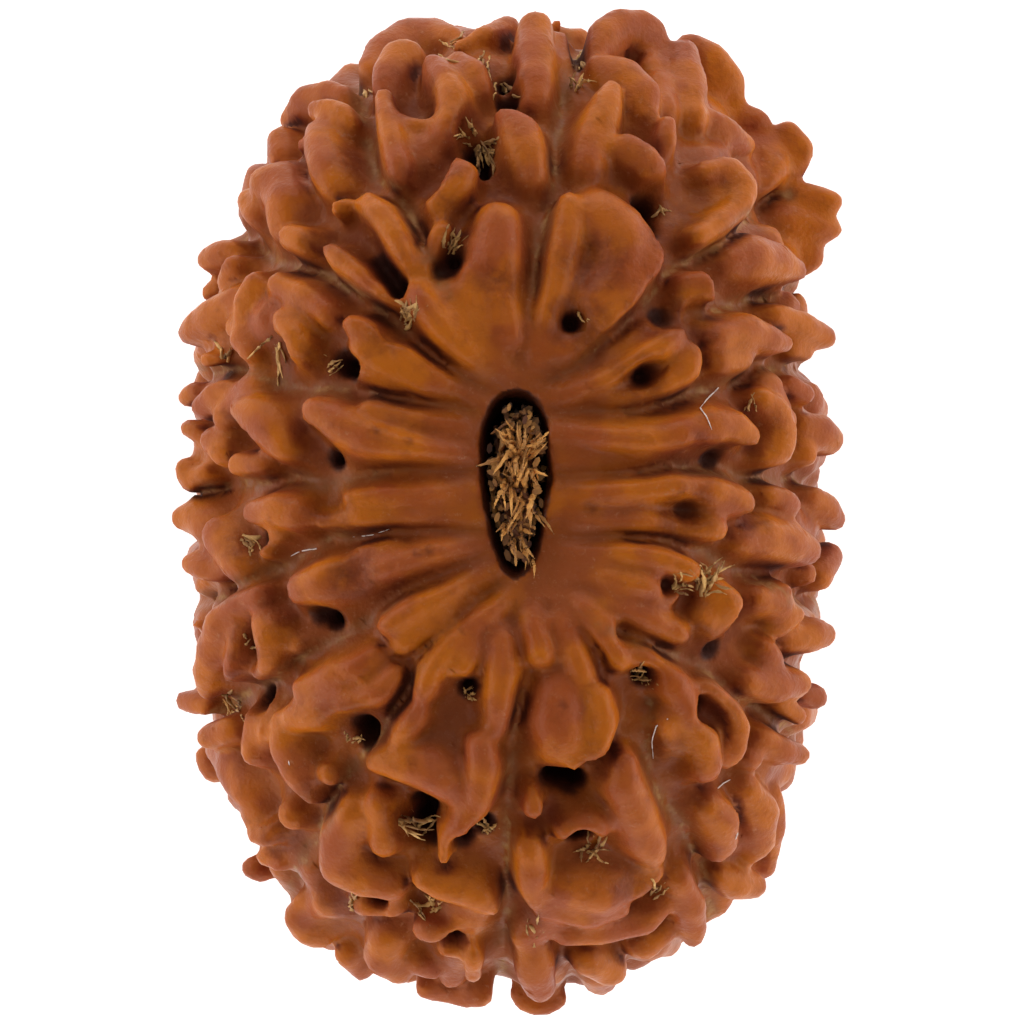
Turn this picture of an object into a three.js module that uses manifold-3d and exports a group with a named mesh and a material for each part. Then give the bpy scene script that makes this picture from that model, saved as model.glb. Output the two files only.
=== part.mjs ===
// A rudraksha seed: one woody stone with sixteen ribs, lobes and pits, and a natural channel
// from pole to pole that holds a strand of dried fibres. Millimetres, +Z up along the channel.

import * as THREE from 'three';
import { mergeVertices } from 'three/addons/utils/BufferGeometryUtils.js';
import Module from 'manifold-3d';

// Driving dimensions
const seedLength = 30;        // along y, tip to tip
const seedWidth = 19.9;       // along x, tip to tip
const seedHeight = 21;        // along z, ground to the highest lobes
const outlinePower = 2.4;     // 2 would be a plain ellipse seen from above
const profilePower = 2.3;     // the same, seen from the side
const reliefDepth = 1.4;      // from the outer tips down to the flesh of a rib
const poleReliefDepth = 0.75; // the same beside the channel's mouths
const grooveDepth = 0.55;     // below the flesh of the ribs
const grooveRadius = 0.32;
const dishDepth = 0.85;       // the poles are sunk round the channel
const dishWidth = 3.4;        // along x, where the dish has risen to a third
const dishLength = 5.2;       // along y
const poleOverrun = 0.6;      // the plain form's poles, above and below the seed's height
const channelWidth = 1.9;
const channelLength = 5.5;
const channelNeck = 0.84;     // the channel inside, as a share of its mouths
const channelMouthHeight = 2.2;
const footRadius = 1.4;
const footCut = 0.25;         // the feet are worn flat this far
const footRing = 0.47;
const groundGap = 0.12;       // what is no foot keeps this far off the ground
const thinnestLobe = 0.5;
const cellSize = 0.79;        // of the facets

// The plan of the upper side, drawn looking straight down on the channel. x runs to the right and
// y down, and planLength steps make the seed's length. A lobe is a stroke of [x, y, radius, drop]
// points, where drop is how far the stroke's top lies under the outer form of the seed. A pit is
// [x, y, radius, depth]. Each rib is followed, clockwise, by its groove, from the channel outwards;
// the groove opens at its point number opens, and the flesh is closed over it before that.
const planLength = 1007;
const planCentreX = 508;
const planCentreY = 511.5;
const channelX = 516;
const channelY = 483;

const ribs = {
  north: {
    opens: 2,
    groove: [[530, 396], [533, 345], [533, 296], [541, 238], [553, 182], [560, 116], [576, 70], [580, 26]],
    lobes: [
      [[372, 80, 18, 4], [384, 58, 18, 2], [406, 43, 18, 2], [434, 38, 16, 2], [462, 42, 14, 4]],
      [[398, 66, 20, 0], [385, 92, 20, 4]],
      [[386, 98, 13, 4], [392, 138, 14, 2], [398, 172, 15, 0], [396, 186, 11, 4]],
      [[392, 112, 14, 6], [419, 124, 13, 8], [437, 108, 14, 4], [434, 78, 14, 4], [442, 62, 14, 4]],
      [[459, 56, 10, 8], [480, 45, 10, 8], [505, 32, 10, 6]],
      [[430, 150, 24, 4], [448, 140, 15, 6]],
      [[466, 168, 13, 0], [452, 192, 13, 4], [440, 215, 14, 8]],
      [[499, 119, 9, 0], [512, 136, 14, 0], [524, 152, 19, 2], [542, 184, 20, 8]],
      [[537, 32, 20, 2], [537, 60, 21, 0], [536, 92, 18, 4]],
      [[499, 27, 8, 8]],
      [[536, 17, 9, 4]],
      [[470, 226, 17, 6], [500, 216, 20, 4], [520, 222, 15, 8]],
      [[495, 250, 27, 4], [490, 285, 22, 8]],
      [[444, 232, 11, 8], [430, 258, 13, 6], [438, 282, 14, 6]],
      [[410, 288, 16, 8], [440, 326, 16, 8], [478, 358, 14, 12], [500, 378, 10, 18]],
      [[482, 300, 20, 8], [498, 330, 17, 10], [508, 364, 12, 16]],
    ],
    pits: [[508, 62, 8, 70], [509, 82, 9, 80], [510, 100, 8, 70], [476, 128, 14, 85], [478, 148, 14, 85],
      [421, 105, 9, 45], [451, 250, 9, 70]],
  },
  northNorthEast: {
    opens: 0,
    groove: [[550, 385], [590, 355], [640, 310], [668, 272], [716, 251], [746, 221], [776, 193], [808, 176]],
    lobes: [
      [[558, 40, 11, 10], [566, 68, 10, 16], [572, 92, 9, 22]],
      [[556, 26, 10, 4]],
      [[577, 34, 10, 4]],
      [[592, 60, 13, 4], [600, 38, 13, 2], [618, 27, 13, 0], [640, 26, 13, 0], [655, 38, 12, 0], [657, 58, 12, 2],
        [648, 72, 12, 6]],
      [[672, 50, 14, 4], [698, 58, 16, 2], [718, 78, 16, 2], [732, 100, 16, 4]],
      [[600, 74, 18, 2], [624, 84, 18, 2], [644, 104, 18, 4]],
      [[614, 95, 8, 0], [606, 112, 12, 2], [600, 138, 15, 6]],
      [[606, 150, 15, 8], [630, 160, 15, 6], [652, 171, 14, 4]],
      [[666, 126, 8, 0], [664, 150, 9, 10]],
      [[676, 60, 17, 6], [684, 86, 18, 4], [690, 112, 17, 6]],
      [[690, 120, 16, 8], [715, 136, 16, 4], [735, 160, 14, 8]],
      [[712, 172, 15, 6], [738, 184, 18, 0], [732, 212, 18, 0], [704, 236, 17, 0], [686, 240, 12, 4]],
      [[742, 108, 13, 6], [760, 124, 13, 4]],
      [[750, 140, 14, 10], [777, 148, 14, 6], [780, 164, 13, 6], [768, 186, 13, 10]],
      [[786, 138, 12, 2], [798, 152, 13, 2], [794, 178, 13, 6]],
      [[592, 202, 14, 6], [634, 208, 16, 4], [655, 238, 15, 2], [650, 268, 15, 2], [626, 302, 16, 4]],
      [[600, 236, 26, 2], [618, 262, 30, 0], [598, 292, 26, 2], [570, 332, 18, 8], [550, 368, 12, 16]],
      [[566, 262, 20, 8], [556, 310, 18, 8], [542, 356, 13, 14]],
    ],
    pits: [[636, 54, 10, 60], [664, 192, 16, 80], [664, 210, 15, 80], [576, 316, 9, 60]],
  },
  northEast: {
    opens: 3,
    groove: [[552, 399], [602, 364], [654, 328], [700, 318], [724, 310], [750, 300], [799, 293], [812, 298]],
    lobes: [
      [[785, 192, 13, 6], [812, 200, 12, 2], [831, 205, 10, 0]],
      [[770, 215, 20, 4], [805, 225, 18, 4], [823, 232, 15, 0]],
      [[740, 262, 20, 4], [770, 262, 18, 2], [792, 272, 10, 0]],
      [[675, 290, 16, 4], [704, 300, 16, 2], [714, 306, 11, 0]],
      [[806, 256, 14, 10]],
      [[804, 286, 10, 6]],
    ],
    pits: [[675, 313, 8, 55]],
  },
  eastNorthEast: {
    opens: 0,
    groove: [[550, 415], [630, 410], [675, 399], [741, 380], [757, 368], [774, 370], [806, 376]],
    lobes: [
      [[565, 396, 10, 18], [620, 372, 12, 12], [665, 342, 13, 8], [690, 324, 12, 6]],
      [[600, 400, 9, 18], [640, 390, 11, 12], [690, 374, 12, 10]],
      [[705, 342, 20, 4], [745, 337, 17, 2], [774, 342, 10, 0]],
      [[715, 368, 15, 8], [700, 376, 12, 12]],
      [[770, 318, 13, 6], [800, 330, 12, 4], [823, 338, 10, 0]],
      [[788, 352, 12, 10]],
    ],
    pits: [[655, 372, 8, 50]],
  },
  east: {
    opens: 0,
    groove: [[555, 475], [630, 476], [666, 467], [716, 471], [741, 479], [774, 479], [809, 488]],
    lobes: [
      [[560, 430, 11, 18], [620, 434, 14, 10], [690, 438, 18, 4], [734, 438, 14, 2], [747, 437, 10, 0]],
      [[754, 396, 12, 4], [778, 420, 14, 4], [782, 440, 14, 4], [770, 458, 12, 8]],
      [[800, 430, 16, 8], [818, 438, 15, 4], [828, 443, 13, 0]],
      [[788, 388, 12, 8], [804, 395, 9, 4]],
      [[806, 464, 13, 10]],
      [[570, 458, 9, 20], [640, 462, 10, 18]],
    ],
    pits: [[735, 457, 8, 50]],
  },
  eastSouthEast: {
    opens: 0,
    groove: [[550, 535], [650, 535], [693, 546], [716, 561], [741, 576], [766, 583], [791, 599], [812, 604]],
    lobes: [
      [[560, 498, 11, 18], [620, 490, 14, 10], [690, 488, 18, 4], [735, 499, 16, 2], [750, 508, 10, 0]],
      [[580, 522, 10, 18], [660, 524, 13, 10], [712, 532, 12, 8]],
      [[765, 496, 12, 8], [789, 507, 12, 4]],
      [[735, 545, 18, 6], [775, 545, 17, 2], [805, 551, 12, 0]],
      [[800, 502, 14, 8], [828, 518, 13, 2]],
      [[824, 560, 14, 2], [812, 582, 14, 6]],
    ],
    pits: [[699, 512, 10, 40]],
  },
  southEast: {
    opens: 0,
    groove: [[545, 583], [600, 625], [650, 645], [686, 659], [708, 671], [733, 692], [766, 712], [784, 728]],
    lobes: [
      [[575, 560, 11, 18], [640, 560, 13, 8], [684, 572, 12, 2]],
      [[560, 577, 11, 18], [610, 586, 13, 10], [650, 600, 13, 6], [676, 622, 14, 10]],
      [[715, 592, 17, 6], [730, 616, 14, 2], [741, 631, 9, 0]],
      [[755, 602, 15, 8], [778, 602, 15, 4], [792, 614, 12, 2]],
      [[765, 648, 13, 6]],
      [[785, 642, 15, 6], [806, 634, 15, 2], [820, 634, 10, 0]],
      [[745, 680, 16, 8], [778, 682, 17, 4], [796, 683, 12, 0]],
      [[796, 694, 10, 6], [813, 697, 10, 0]],
      [[796, 716, 9, 4]],
      [[700, 640, 12, 12]],
    ],
    pits: [[746, 621, 9, 50], [735, 652, 9, 50]],
  },
  southSouthEast: {
    opens: 3,
    groove: [[533, 583], [562, 617], [602, 655], [648, 700], [645, 745], [655, 790], [680, 820], [700, 860], [706, 915]],
    lobes: [
      [[640, 646, 15, 10], [672, 674, 18, 6], [690, 702, 20, 2], [700, 738, 20, 0], [703, 768, 16, 2]],
      [[712, 692, 9, 4], [732, 706, 9, 2], [737, 726, 9, 2], [730, 748, 9, 6]],
      [[642, 702, 11, 10], [668, 732, 14, 10]],
      [[705, 802, 15, 8], [722, 824, 15, 4], [720, 846, 14, 6]],
      [[745, 790, 18, 6], [760, 822, 17, 2], [750, 852, 17, 4]],
      [[760, 742, 14, 6], [780, 752, 13, 2], [793, 754, 9, 0]],
      [[722, 872, 14, 8], [738, 884, 14, 4]],
      [[772, 786, 9, 6], [763, 826, 12, 2], [756, 870, 12, 4]],
    ],
    pits: [[708, 710, 8, 60], [655, 676, 9, 60]],
  },
  south: {
    opens: 2,
    groove: [[520, 590], [522, 640], [520, 690], [510, 770], [506, 836], [508, 903], [503, 944], [501, 984]],
    lobes: [
      [[528, 600, 10, 16], [540, 640, 12, 10]],
      [[548, 590, 12, 16], [580, 604, 14, 8], [610, 632, 15, 6], [628, 664, 13, 8]],
      [[556, 660, 16, 8], [575, 680, 18, 4]],
      [[562, 726, 28, 4]],
      [[585, 684, 16, 4], [600, 714, 16, 0], [590, 746, 15, 0], [564, 758, 14, 2]],
      [[534, 802, 13, 0]],
      [[625, 772, 22, 4], [636, 810, 24, 2], [648, 846, 18, 4]],
      [[530, 842, 16, 6], [530, 880, 18, 6]],
      [[560, 886, 28, 2], [600, 892, 28, 2], [632, 872, 24, 4]],
      [[530, 944, 20, 4], [538, 972, 17, 2], [541, 994, 14, 0]],
      [[522, 998, 11, 6], [540, 1003, 12, 2], [557, 997, 11, 4]],
      [[588, 958, 15, 4], [611, 970, 14, 4]],
      [[640, 938, 16, 4]],
      [[680, 872, 16, 8], [690, 902, 15, 4], [693, 923, 12, 2]],
    ],
    pits: [[562, 790, 15, 80], [580, 792, 13, 80], [584, 848, 12, 70]],
  },
  southSouthWest: {
    opens: 0,
    groove: [[505, 580], [473, 606], [434, 643], [408, 684], [382, 731], [361, 756], [344, 780], [320, 830],
      [300, 865], [287, 896]],
    lobes: [
      [[513, 592, 11, 16], [480, 616, 16, 8], [446, 646, 16, 6], [426, 674, 14, 6], [421, 698, 12, 8]],
      [[500, 640, 14, 10], [502, 690, 16, 6], [500, 726, 13, 8]],
      [[380, 752, 18, 6], [420, 756, 22, 2], [456, 768, 20, 2], [470, 796, 14, 4]],
      [[482, 738, 15, 2], [483, 770, 15, 0], [470, 810, 13, 0], [452, 838, 10, 0], [441, 855, 8, 0]],
      [[350, 806, 22, 2], [338, 838, 22, 0], [352, 866, 20, 2], [388, 878, 18, 4]],
      [[430, 878, 17, 6], [470, 884, 17, 4], [490, 902, 14, 6]],
      [[436, 928, 13, 2]],
      [[468, 932, 14, 2], [472, 956, 11, 0], [473, 974, 8, 0]],
      [[304, 902, 12, 6], [300, 924, 10, 4], [322, 936, 12, 4]],
      [[336, 908, 8, 4]],
      [[380, 938, 20, 4], [396, 960, 18, 2]],
      [[350, 952, 14, 4], [368, 966, 12, 2]],
      [[440, 982, 13, 4], [466, 990, 13, 2], [484, 990, 11, 4]],
      [[352, 895, 14, 8]],
      [[416, 958, 14, 8]],
    ],
    pits: [[466, 692, 9, 65], [418, 822, 13, 85], [416, 844, 14, 90], [480, 835, 9, 70], [417, 901, 8, 60],
      [369, 909, 8, 60], [455, 950, 6, 50]],
  },
  southWest: {
    opens: 0,
    groove: [[490, 548], [429, 582], [397, 600], [353, 632], [316, 648], [299, 661], [270, 684], [256, 689],
      [206, 716]],
    lobes: [
      [[385, 624, 14, 4], [412, 610, 14, 6], [450, 594, 12, 10], [492, 574, 10, 18]],
      [[290, 716, 16, 0], [330, 708, 17, 0], [376, 692, 18, 2], [398, 668, 14, 6]],
      [[282, 712, 14, 2], [288, 742, 18, 0], [306, 776, 18, 2], [322, 800, 14, 6]],
      [[308, 690, 13, 4], [340, 674, 14, 4], [376, 652, 13, 6]],
      [[380, 722, 12, 6]],
      [[350, 766, 10, 8]],
      [[216, 738, 15, 4], [238, 728, 16, 4]],
      [[205, 756, 9, 2]],
      [[240, 762, 24, 2]],
      [[250, 798, 20, 2], [256, 832, 18, 2]],
      [[251, 865, 9, 2]],
      [[268, 852, 15, 4], [284, 866, 14, 4]],
      [[266, 726, 8, 2]],
      [[290, 826, 14, 10]],
    ],
    pits: [[350, 737, 11, 70], [352, 746, 10, 65]],
  },
  westSouthWest: {
    opens: 0,
    groove: [[485, 530], [391, 529], [336, 537], [311, 554], [290, 566], [253, 577], [223, 595], [200, 600]],
    lobes: [
      [[302, 590, 18, 0], [338, 580, 18, 0], [398, 562, 15, 4], [440, 550, 13, 8], [482, 546, 10, 18]],
      [[262, 592, 13, 2], [228, 612, 15, 2], [214, 640, 15, 2], [210, 668, 14, 2], [214, 684, 12, 4]],
      [[206, 622, 10, 2]],
      [[185, 700, 9, 0], [198, 704, 12, 2], [214, 706, 12, 6]],
      [[262, 624, 17, 2], [275, 640, 18, 0], [270, 666, 15, 4]],
      [[300, 640, 12, 10]],
    ],
    pits: [[313, 622, 12, 70], [241, 702, 12, 60], [240, 640, 8, 50]],
  },
  west: {
    opens: 0,
    groove: [[483, 470], [419, 467], [361, 478], [328, 487], [303, 478], [260, 482], [223, 488], [188, 494]],
    lobes: [
      [[345, 500, 13, 6], [400, 498, 12, 8], [470, 498, 10, 18]],
      [[318, 522, 11, 6], [400, 516, 11, 8], [478, 518, 10, 18]],
      [[256, 517, 16, 2], [284, 513, 16, 0], [308, 522, 12, 4]],
      [[185, 517, 11, 0], [200, 516, 16, 2], [216, 530, 18, 4]],
      [[198, 564, 10, 0], [208, 568, 12, 4], [228, 570, 13, 8]],
      [[272, 550, 12, 10]],
    ],
    pits: [[246, 537, 9, 55]],
  },
  westNorthWest: {
    opens: 0,
    groove: [[485, 412], [419, 405], [361, 393], [311, 390], [276, 383], [240, 370], [203, 381]],
    lobes: [
      [[318, 416, 20, 0], [350, 430, 20, 0], [400, 446, 17, 4], [450, 452, 12, 14]],
      [[240, 413, 15, 0], [262, 426, 18, 2], [288, 440, 18, 6]],
      [[208, 410, 14, 4], [226, 402, 13, 6]],
      [[220, 443, 14, 4], [238, 455, 13, 6]],
      [[190, 400, 8, 0]],
      [[191, 430, 8, 0]],
      [[190, 472, 12, 0], [210, 474, 12, 8]],
      [[380, 412, 11, 12], [450, 426, 9, 18]],
    ],
    pits: [[318, 458, 10, 60]],
  },
  northWest: {
    opens: 0,
    groove: [[487, 395], [440, 365], [375, 306], [324, 276], [280, 263], [251, 241], [238, 234]],
    lobes: [
      [[354, 328, 13, 0], [390, 354, 14, 2], [440, 384, 13, 10], [478, 402, 10, 18]],
      [[358, 352, 13, 0], [386, 374, 13, 2], [430, 392, 11, 12]],
      [[190, 332, 8, 0], [200, 330, 14, 2], [216, 324, 20, 4], [242, 310, 24, 4]],
      [[258, 294, 20, 4], [247, 330, 20, 2], [250, 358, 16, 4]],
      [[288, 328, 17, 2], [302, 350, 16, 4]],
      [[214, 265, 11, 0], [232, 262, 12, 6]],
      [[214, 290, 9, 4]],
      [[300, 296, 14, 10], [330, 312, 12, 10]],
      [[216, 360, 12, 10]],
    ],
    pits: [[328, 362, 12, 70], [340, 366, 9, 60]],
  },
  northNorthWest: {
    opens: 2,
    groove: [[504, 390], [478, 345], [450, 300], [430, 262], [413, 221], [401, 196], [378, 181], [371, 154], [364, 113], [356, 82]],
    lobes: [
      [[312, 114, 11, 2], [338, 118, 11, 4], [356, 126, 10, 8]],
      [[323, 137, 14, 0], [330, 156, 18, 2], [336, 176, 17, 2], [345, 198, 15, 4]],
      [[292, 122, 13, 2], [314, 102, 14, 2], [344, 100, 13, 4]],
      [[284, 146, 13, 2], [288, 162, 12, 6]],
      [[302, 148, 8, 4]],
      [[262, 186, 17, 2], [288, 178, 20, 2], [298, 194, 20, 4]],
      [[253, 204, 10, 0], [266, 214, 18, 4]],
      [[288, 238, 14, 4], [310, 250, 13, 6]],
      [[340, 213, 9, 2]],
      [[368, 208, 12, 2], [394, 232, 12, 2], [410, 256, 12, 2], [408, 284, 11, 6]],
      [[330, 252, 12, 2], [346, 262, 13, 2], [370, 280, 13, 2], [392, 296, 12, 4]],
      [[344, 236, 11, 10]],
    ],
    pits: [[369, 256, 8, 60], [380, 270, 9, 65], [392, 284, 8, 60]],
  },
};

// The rule for what the plan doesn't draw: rows of lobes, on each rib as many as fit across it
const ringSpacing = 1.7;
const lobeSpacing = 1.8;
const ruleKeepOff = 0.75;       // a lobe of the rule this near a drawn one is left out
const lowestDrawnRing = 0.8;    // further in, the upper side is all drawn
const rimDrop = 10;             // the rule's lobes stay low where they would show in the plan's outline
const hangLimit = 1.1;          // how steeply a drawn lobe may lean down
const grooveWobble = 0.5;
const nearOutline = 0.97;       // the ring inside which a groove's other points stay
const mouthRing = 0.3;          // further in, the lower side has ridges that run to the mouth
const mouthRidgeRings = [0.46, 0.34, 0.24];
const highestTip = 0.9;         // outside the form
const deepestPit = 3.4;         // inside it
const facetSoftness = 0.32;
const facetAllowance = 0.13;    // facets cut across the tips, so they stand this much prouder
const sideRows = 24;            // of facets, from a mouth to the outline
const channelRows = [[0.7, 0], [2.2, 0], [2.2, 0.5], [2.2, 1], [0.7, 1]];
const strandCount = 5;
const strandRadius = 0.31;
const strandSpacing = 0.5;
const strandWave = 0.09;
const strandBends = 5;
const strandSteps = 8;
const strandTurn = 0.37;        // each strand's section is turned from the one before
const strandTopGap = 1.9;
const strandBottomGap = 2;
const randomSeed = 1616;

const step = seedLength / planLength;
const middle = new THREE.Vector3(0, 0, seedHeight / 2);
const halfWidth = seedWidth / 2;
const halfLength = seedLength / 2;
const halfHeight = seedHeight / 2 + poleOverrun;

let randomState = randomSeed;
function draw(low, high) {
  randomState = (randomState * 16807) % 2147483647;
  return low + (high - low) * randomState / 2147483647;
}

function fromPlan(x, y) {
  return [(x - planCentreX) * step, (planCentreY - y) * step];
}

// How far out a plan point lies: 0 at the middle, 1 on the outline of the form drawn in by depth
function ringOf(x, y, depth) {
  const across = Math.abs(x) / (halfWidth - depth);
  const along = Math.abs(y) / (halfLength - depth);
  return Math.pow(Math.pow(across, outlinePower) + Math.pow(along, outlinePower), 1 / outlinePower);
}

// 1 at the poles, falling to 0 outside the dish
function polewardAt(x, y) {
  return Math.exp(-Math.pow(x / dishWidth, 2) - Math.pow(y / dishLength, 2));
}

// The point of the seed's form, drawn in by depth, over or under a plan point
function pointOnForm(x, y, depth, side) {
  const ring = Math.min(1, ringOf(x, y, depth));
  const rise = (halfHeight - depth) * Math.pow(1 - Math.pow(ring, profilePower), 1 / profilePower);
  return new THREE.Vector3(x, y, middle.z + side * Math.max(0, rise - dishDepth * polewardAt(x, y)));
}

// The plain form at a point: value is below 1 inside it and above 1 outside, slope is its gradient
function formAt(point) {
  const across = Math.abs(point.x) / halfWidth;
  const along = Math.abs(point.y) / halfLength;
  const height = Math.abs(point.z - middle.z) / halfHeight;
  const ring = Math.max(1e-6, ringOf(point.x, point.y, 0));
  const value = Math.pow(Math.pow(ring, profilePower) + Math.pow(height, profilePower), 1 / profilePower);
  const share = Math.pow(value, 1 - profilePower);
  const flat = share * Math.pow(ring, profilePower - outlinePower);
  const slope = new THREE.Vector3(
    Math.sign(point.x) * flat * Math.pow(across, outlinePower - 1) / halfWidth,
    Math.sign(point.y) * flat * Math.pow(along, outlinePower - 1) / halfLength,
    Math.sign(point.z - middle.z) * share * Math.pow(height, profilePower - 1) / halfHeight,
  );
  return { value, slope };
}

function lobePoint([x, y, radius, drop], side) {
  const size = Math.max(radius * step, thinnestLobe);
  const centre = pointOnForm(x, y, size + drop * step, side);
  centre.z = Math.max(centre.z, size + groundGap);
  return { centre, size };
}

// A drawn lobe points outwards from its innermost point, and doesn't hang down the seed's side
function drawnLobe(lobe) {
  const stroke = lobe.map(([x, y, radius, drop]) => lobePoint([...fromPlan(x, y), radius, drop], 1));
  const highest = stroke.reduce((best, point) => (point.centre.z > best.centre.z ? point : best));
  for (const point of stroke) {
    const away = Math.hypot(point.centre.x - highest.centre.x, point.centre.y - highest.centre.y);
    point.centre.z = Math.max(point.centre.z, highest.centre.z - hangLimit * away);
  }
  return stroke;
}

// A groove on the upper side stays inside the outline, and its last point is on it
function upperGroove(planPoints) {
  return planPoints.map((planPoint, i) => {
    const [x, y] = fromPlan(...planPoint);
    const ring = ringOf(x, y, 0);
    const inwards = i === planPoints.length - 1 ? ring : Math.max(1, ring / nearOutline);
    return [x / inwards, y / inwards];
  });
}

// A groove on the lower side runs from the channel's lower mouth to its upper groove's outer end
function lowerGroove(upper) {
  const inner = upper[0];
  const outer = upper[upper.length - 1];
  const bend = draw(-grooveWobble, grooveWobble);
  const reach = [outer[0] - inner[0], outer[1] - inner[1]];
  const long = Math.hypot(...reach);
  const points = [];
  const stretches = 9;
  for (let i = 0; i <= stretches; i++) {
    const share = Math.sin((i / stretches) * (Math.PI / 2));
    const sideways = bend * Math.sin(2 * Math.PI * i / stretches) / long;
    points.push([
      inner[0] + reach[0] * share - reach[1] * sideways,
      inner[1] + reach[1] * share + reach[0] * sideways,
    ]);
  }
  return points;
}

const ribList = Object.values(ribs);
const drawn = ribList.flatMap((rib) => rib.lobes.map(drawnLobe));
const upperGrooves = ribList.map((rib) => upperGroove(rib.groove));
const lowerGrooves = upperGrooves.map(lowerGroove);

function ribBefore(index) {
  return (index + ribList.length - 1) % ribList.length;
}

// Where a groove crosses a ring
function crossing(groove, ring) {
  let best = groove[0];
  let nearest = Infinity;
  for (let i = 1; i < groove.length; i++) {
    for (let part = 0; part <= 8; part++) {
      const x = groove[i - 1][0] + (groove[i][0] - groove[i - 1][0]) * part / 8;
      const y = groove[i - 1][1] + (groove[i][1] - groove[i - 1][1]) * part / 8;
      const miss = Math.abs(ringOf(x, y, 0) - ring);
      if (miss < nearest) {
        nearest = miss;
        best = [x, y];
      }
    }
  }
  return best;
}

// A point sunk under a point of the outer form, which may first be moved along the form
function sunkPoint(x, y, side, radius, drop, move, lean) {
  const size = radius * step;
  const centre = pointOnForm(x, y, 0, side);
  const outwards = formAt(centre).slope.normalize();
  const level = new THREE.Vector3(-outwards.y, outwards.x, 0).normalize();
  const steep = new THREE.Vector3().crossVectors(outwards, level);
  centre.addScaledVector(level, move * Math.cos(lean));
  centre.addScaledVector(steep, move * Math.sin(lean));
  centre.addScaledVector(outwards, -size - drop * step);
  centre.z = Math.max(centre.z, size + groundGap);
  return { centre, size };
}

// One row of the rule's lobes, on one rib
function ruleRow(start, end, ring, side) {
  const strokes = [];
  const count = Math.max(1, Math.round(Math.hypot(end[0] - start[0], end[1] - start[1]) / lobeSpacing));
  for (let i = 0; i < count; i++) {
    const share = (i + 0.5 + draw(-0.16, 0.16)) / count;
    const x = start[0] + (end[0] - start[0]) * share;
    const y = start[1] + (end[1] - start[1]) * share;
    const outwards = Math.min(1.2, ring / Math.max(ringOf(x, y, 0), 0.05));
    const root = sunkPoint(x * outwards, y * outwards, side, draw(20, 25), draw(14, 20), 0, 0);
    const lean = draw(0, 2 * Math.PI);
    const drop = draw(0, 8) + (ring > 0.94 ? rimDrop : 0);
    const tip = sunkPoint(x * outwards, y * outwards, side, draw(14, 19), drop, draw(0.2, 0.65), lean);
    strokes.push([root, tip]);
  }
  return strokes;
}

function ruleLobes() {
  const strokes = [];
  const rows = Math.round((Math.PI / 2) * (halfHeight + halfWidth) / 2 / ringSpacing);
  for (const side of [1, -1]) {
    const grooves = side > 0 ? upperGrooves : lowerGrooves;
    const lastRing = side > 0 ? lowestDrawnRing : mouthRing;
    for (let row = 0; row < rows; row++) {
      const ring = Math.cos(((row + 0.3) / rows) * (Math.PI / 2));
      if (ring > lastRing) {
        grooves.forEach((groove, index) => {
          const start = crossing(grooves[ribBefore(index)], ring);
          strokes.push(...ruleRow(start, crossing(groove, ring), ring, side));
        });
      }
    }
  }
  const taken = drawn.flat();
  return strokes.filter(([root]) => (
    taken.every((point) => point.centre.distanceTo(root.centre) > ruleKeepOff + point.size)
  ));
}

// The middle of each rib on the lower side, at a ring
function lowerRibMiddle(index, ring) {
  const a = crossing(lowerGrooves[ribBefore(index)], ring);
  const b = crossing(lowerGrooves[index], ring);
  return [(a[0] + b[0]) / 2, (a[1] + b[1]) / 2];
}

// Low ridges run to the lower mouth, one on each rib
function mouthRidges() {
  return ribList.map((rib, index) => (
    mouthRidgeRings.map((ring) => lobePoint([...lowerRibMiddle(index, ring), 6 + 28 * ring, 5], -1))
  ));
}

// The seed stands on blunt lobes round the lower mouth, one on every second rib
function feet() {
  const strokes = [];
  for (let index = 0; index < ribList.length; index += 2) {
    const [x, y] = lowerRibMiddle(index, footRing);
    strokes.push([{ centre: new THREE.Vector3(x, y, footRadius - footCut), size: footRadius }]);
  }
  return strokes;
}

function pitStroke([planX, planY, radius, depth]) {
  const mouth = pointOnForm(...fromPlan(planX, planY), 0, 1);
  const outwards = formAt(mouth).slope.normalize();
  const size = Math.max(radius * step, 0.8 * thinnestLobe);
  const floor = mouth.clone().addScaledVector(outwards, -depth * step);
  mouth.addScaledVector(outwards, size);
  return [{ centre: mouth, size: 1.35 * size }, { centre: floor, size: 0.6 * size }];
}

function grooveStroke(groove, opens, side) {
  return groove.slice(opens).map(([x, y]) => ({
    centre: pointOnForm(x, y, reliefDepth + grooveDepth - grooveRadius, side),
    size: grooveRadius,
  }));
}

function segments(strokes) {
  const list = strokes.flatMap((stroke) => (
    stroke.length === 1 ? [[stroke[0], stroke[0]]] : stroke.slice(1).map((point, i) => [stroke[i], point])
  ));
  return list.map(([from, to]) => {
    const along = to.centre.clone().sub(from.centre);
    return { from, to, along, square: Math.max(along.lengthSq(), 1e-9) };
  });
}

const raised = segments([...drawn, ...ruleLobes(), ...mouthRidges(), ...feet()]);
const sunk = segments(ribList.flatMap((rib) => rib.pits.map(pitStroke)));
const grooved = segments([
  ...ribList.map((rib, index) => grooveStroke(upperGrooves[index], rib.opens, 1)),
  ...lowerGrooves.map((groove) => grooveStroke(groove, 0, -1)),
]);

function segmentDistance(segment, point) {
  const offset = point.clone().sub(segment.from.centre);
  const share = THREE.MathUtils.clamp(offset.dot(segment.along) / segment.square, 0, 1);
  offset.addScaledVector(segment.along, -share);
  return offset.length() - THREE.MathUtils.lerp(segment.from.size, segment.to.size, share);
}

function joined(a, b, softness) {
  const near = Math.max(softness - Math.abs(a - b), 0) / softness;
  return Math.min(a, b) - near * near * softness / 4;
}

function carved(a, b, softness) {
  return -joined(-a, b, softness);
}

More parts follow.
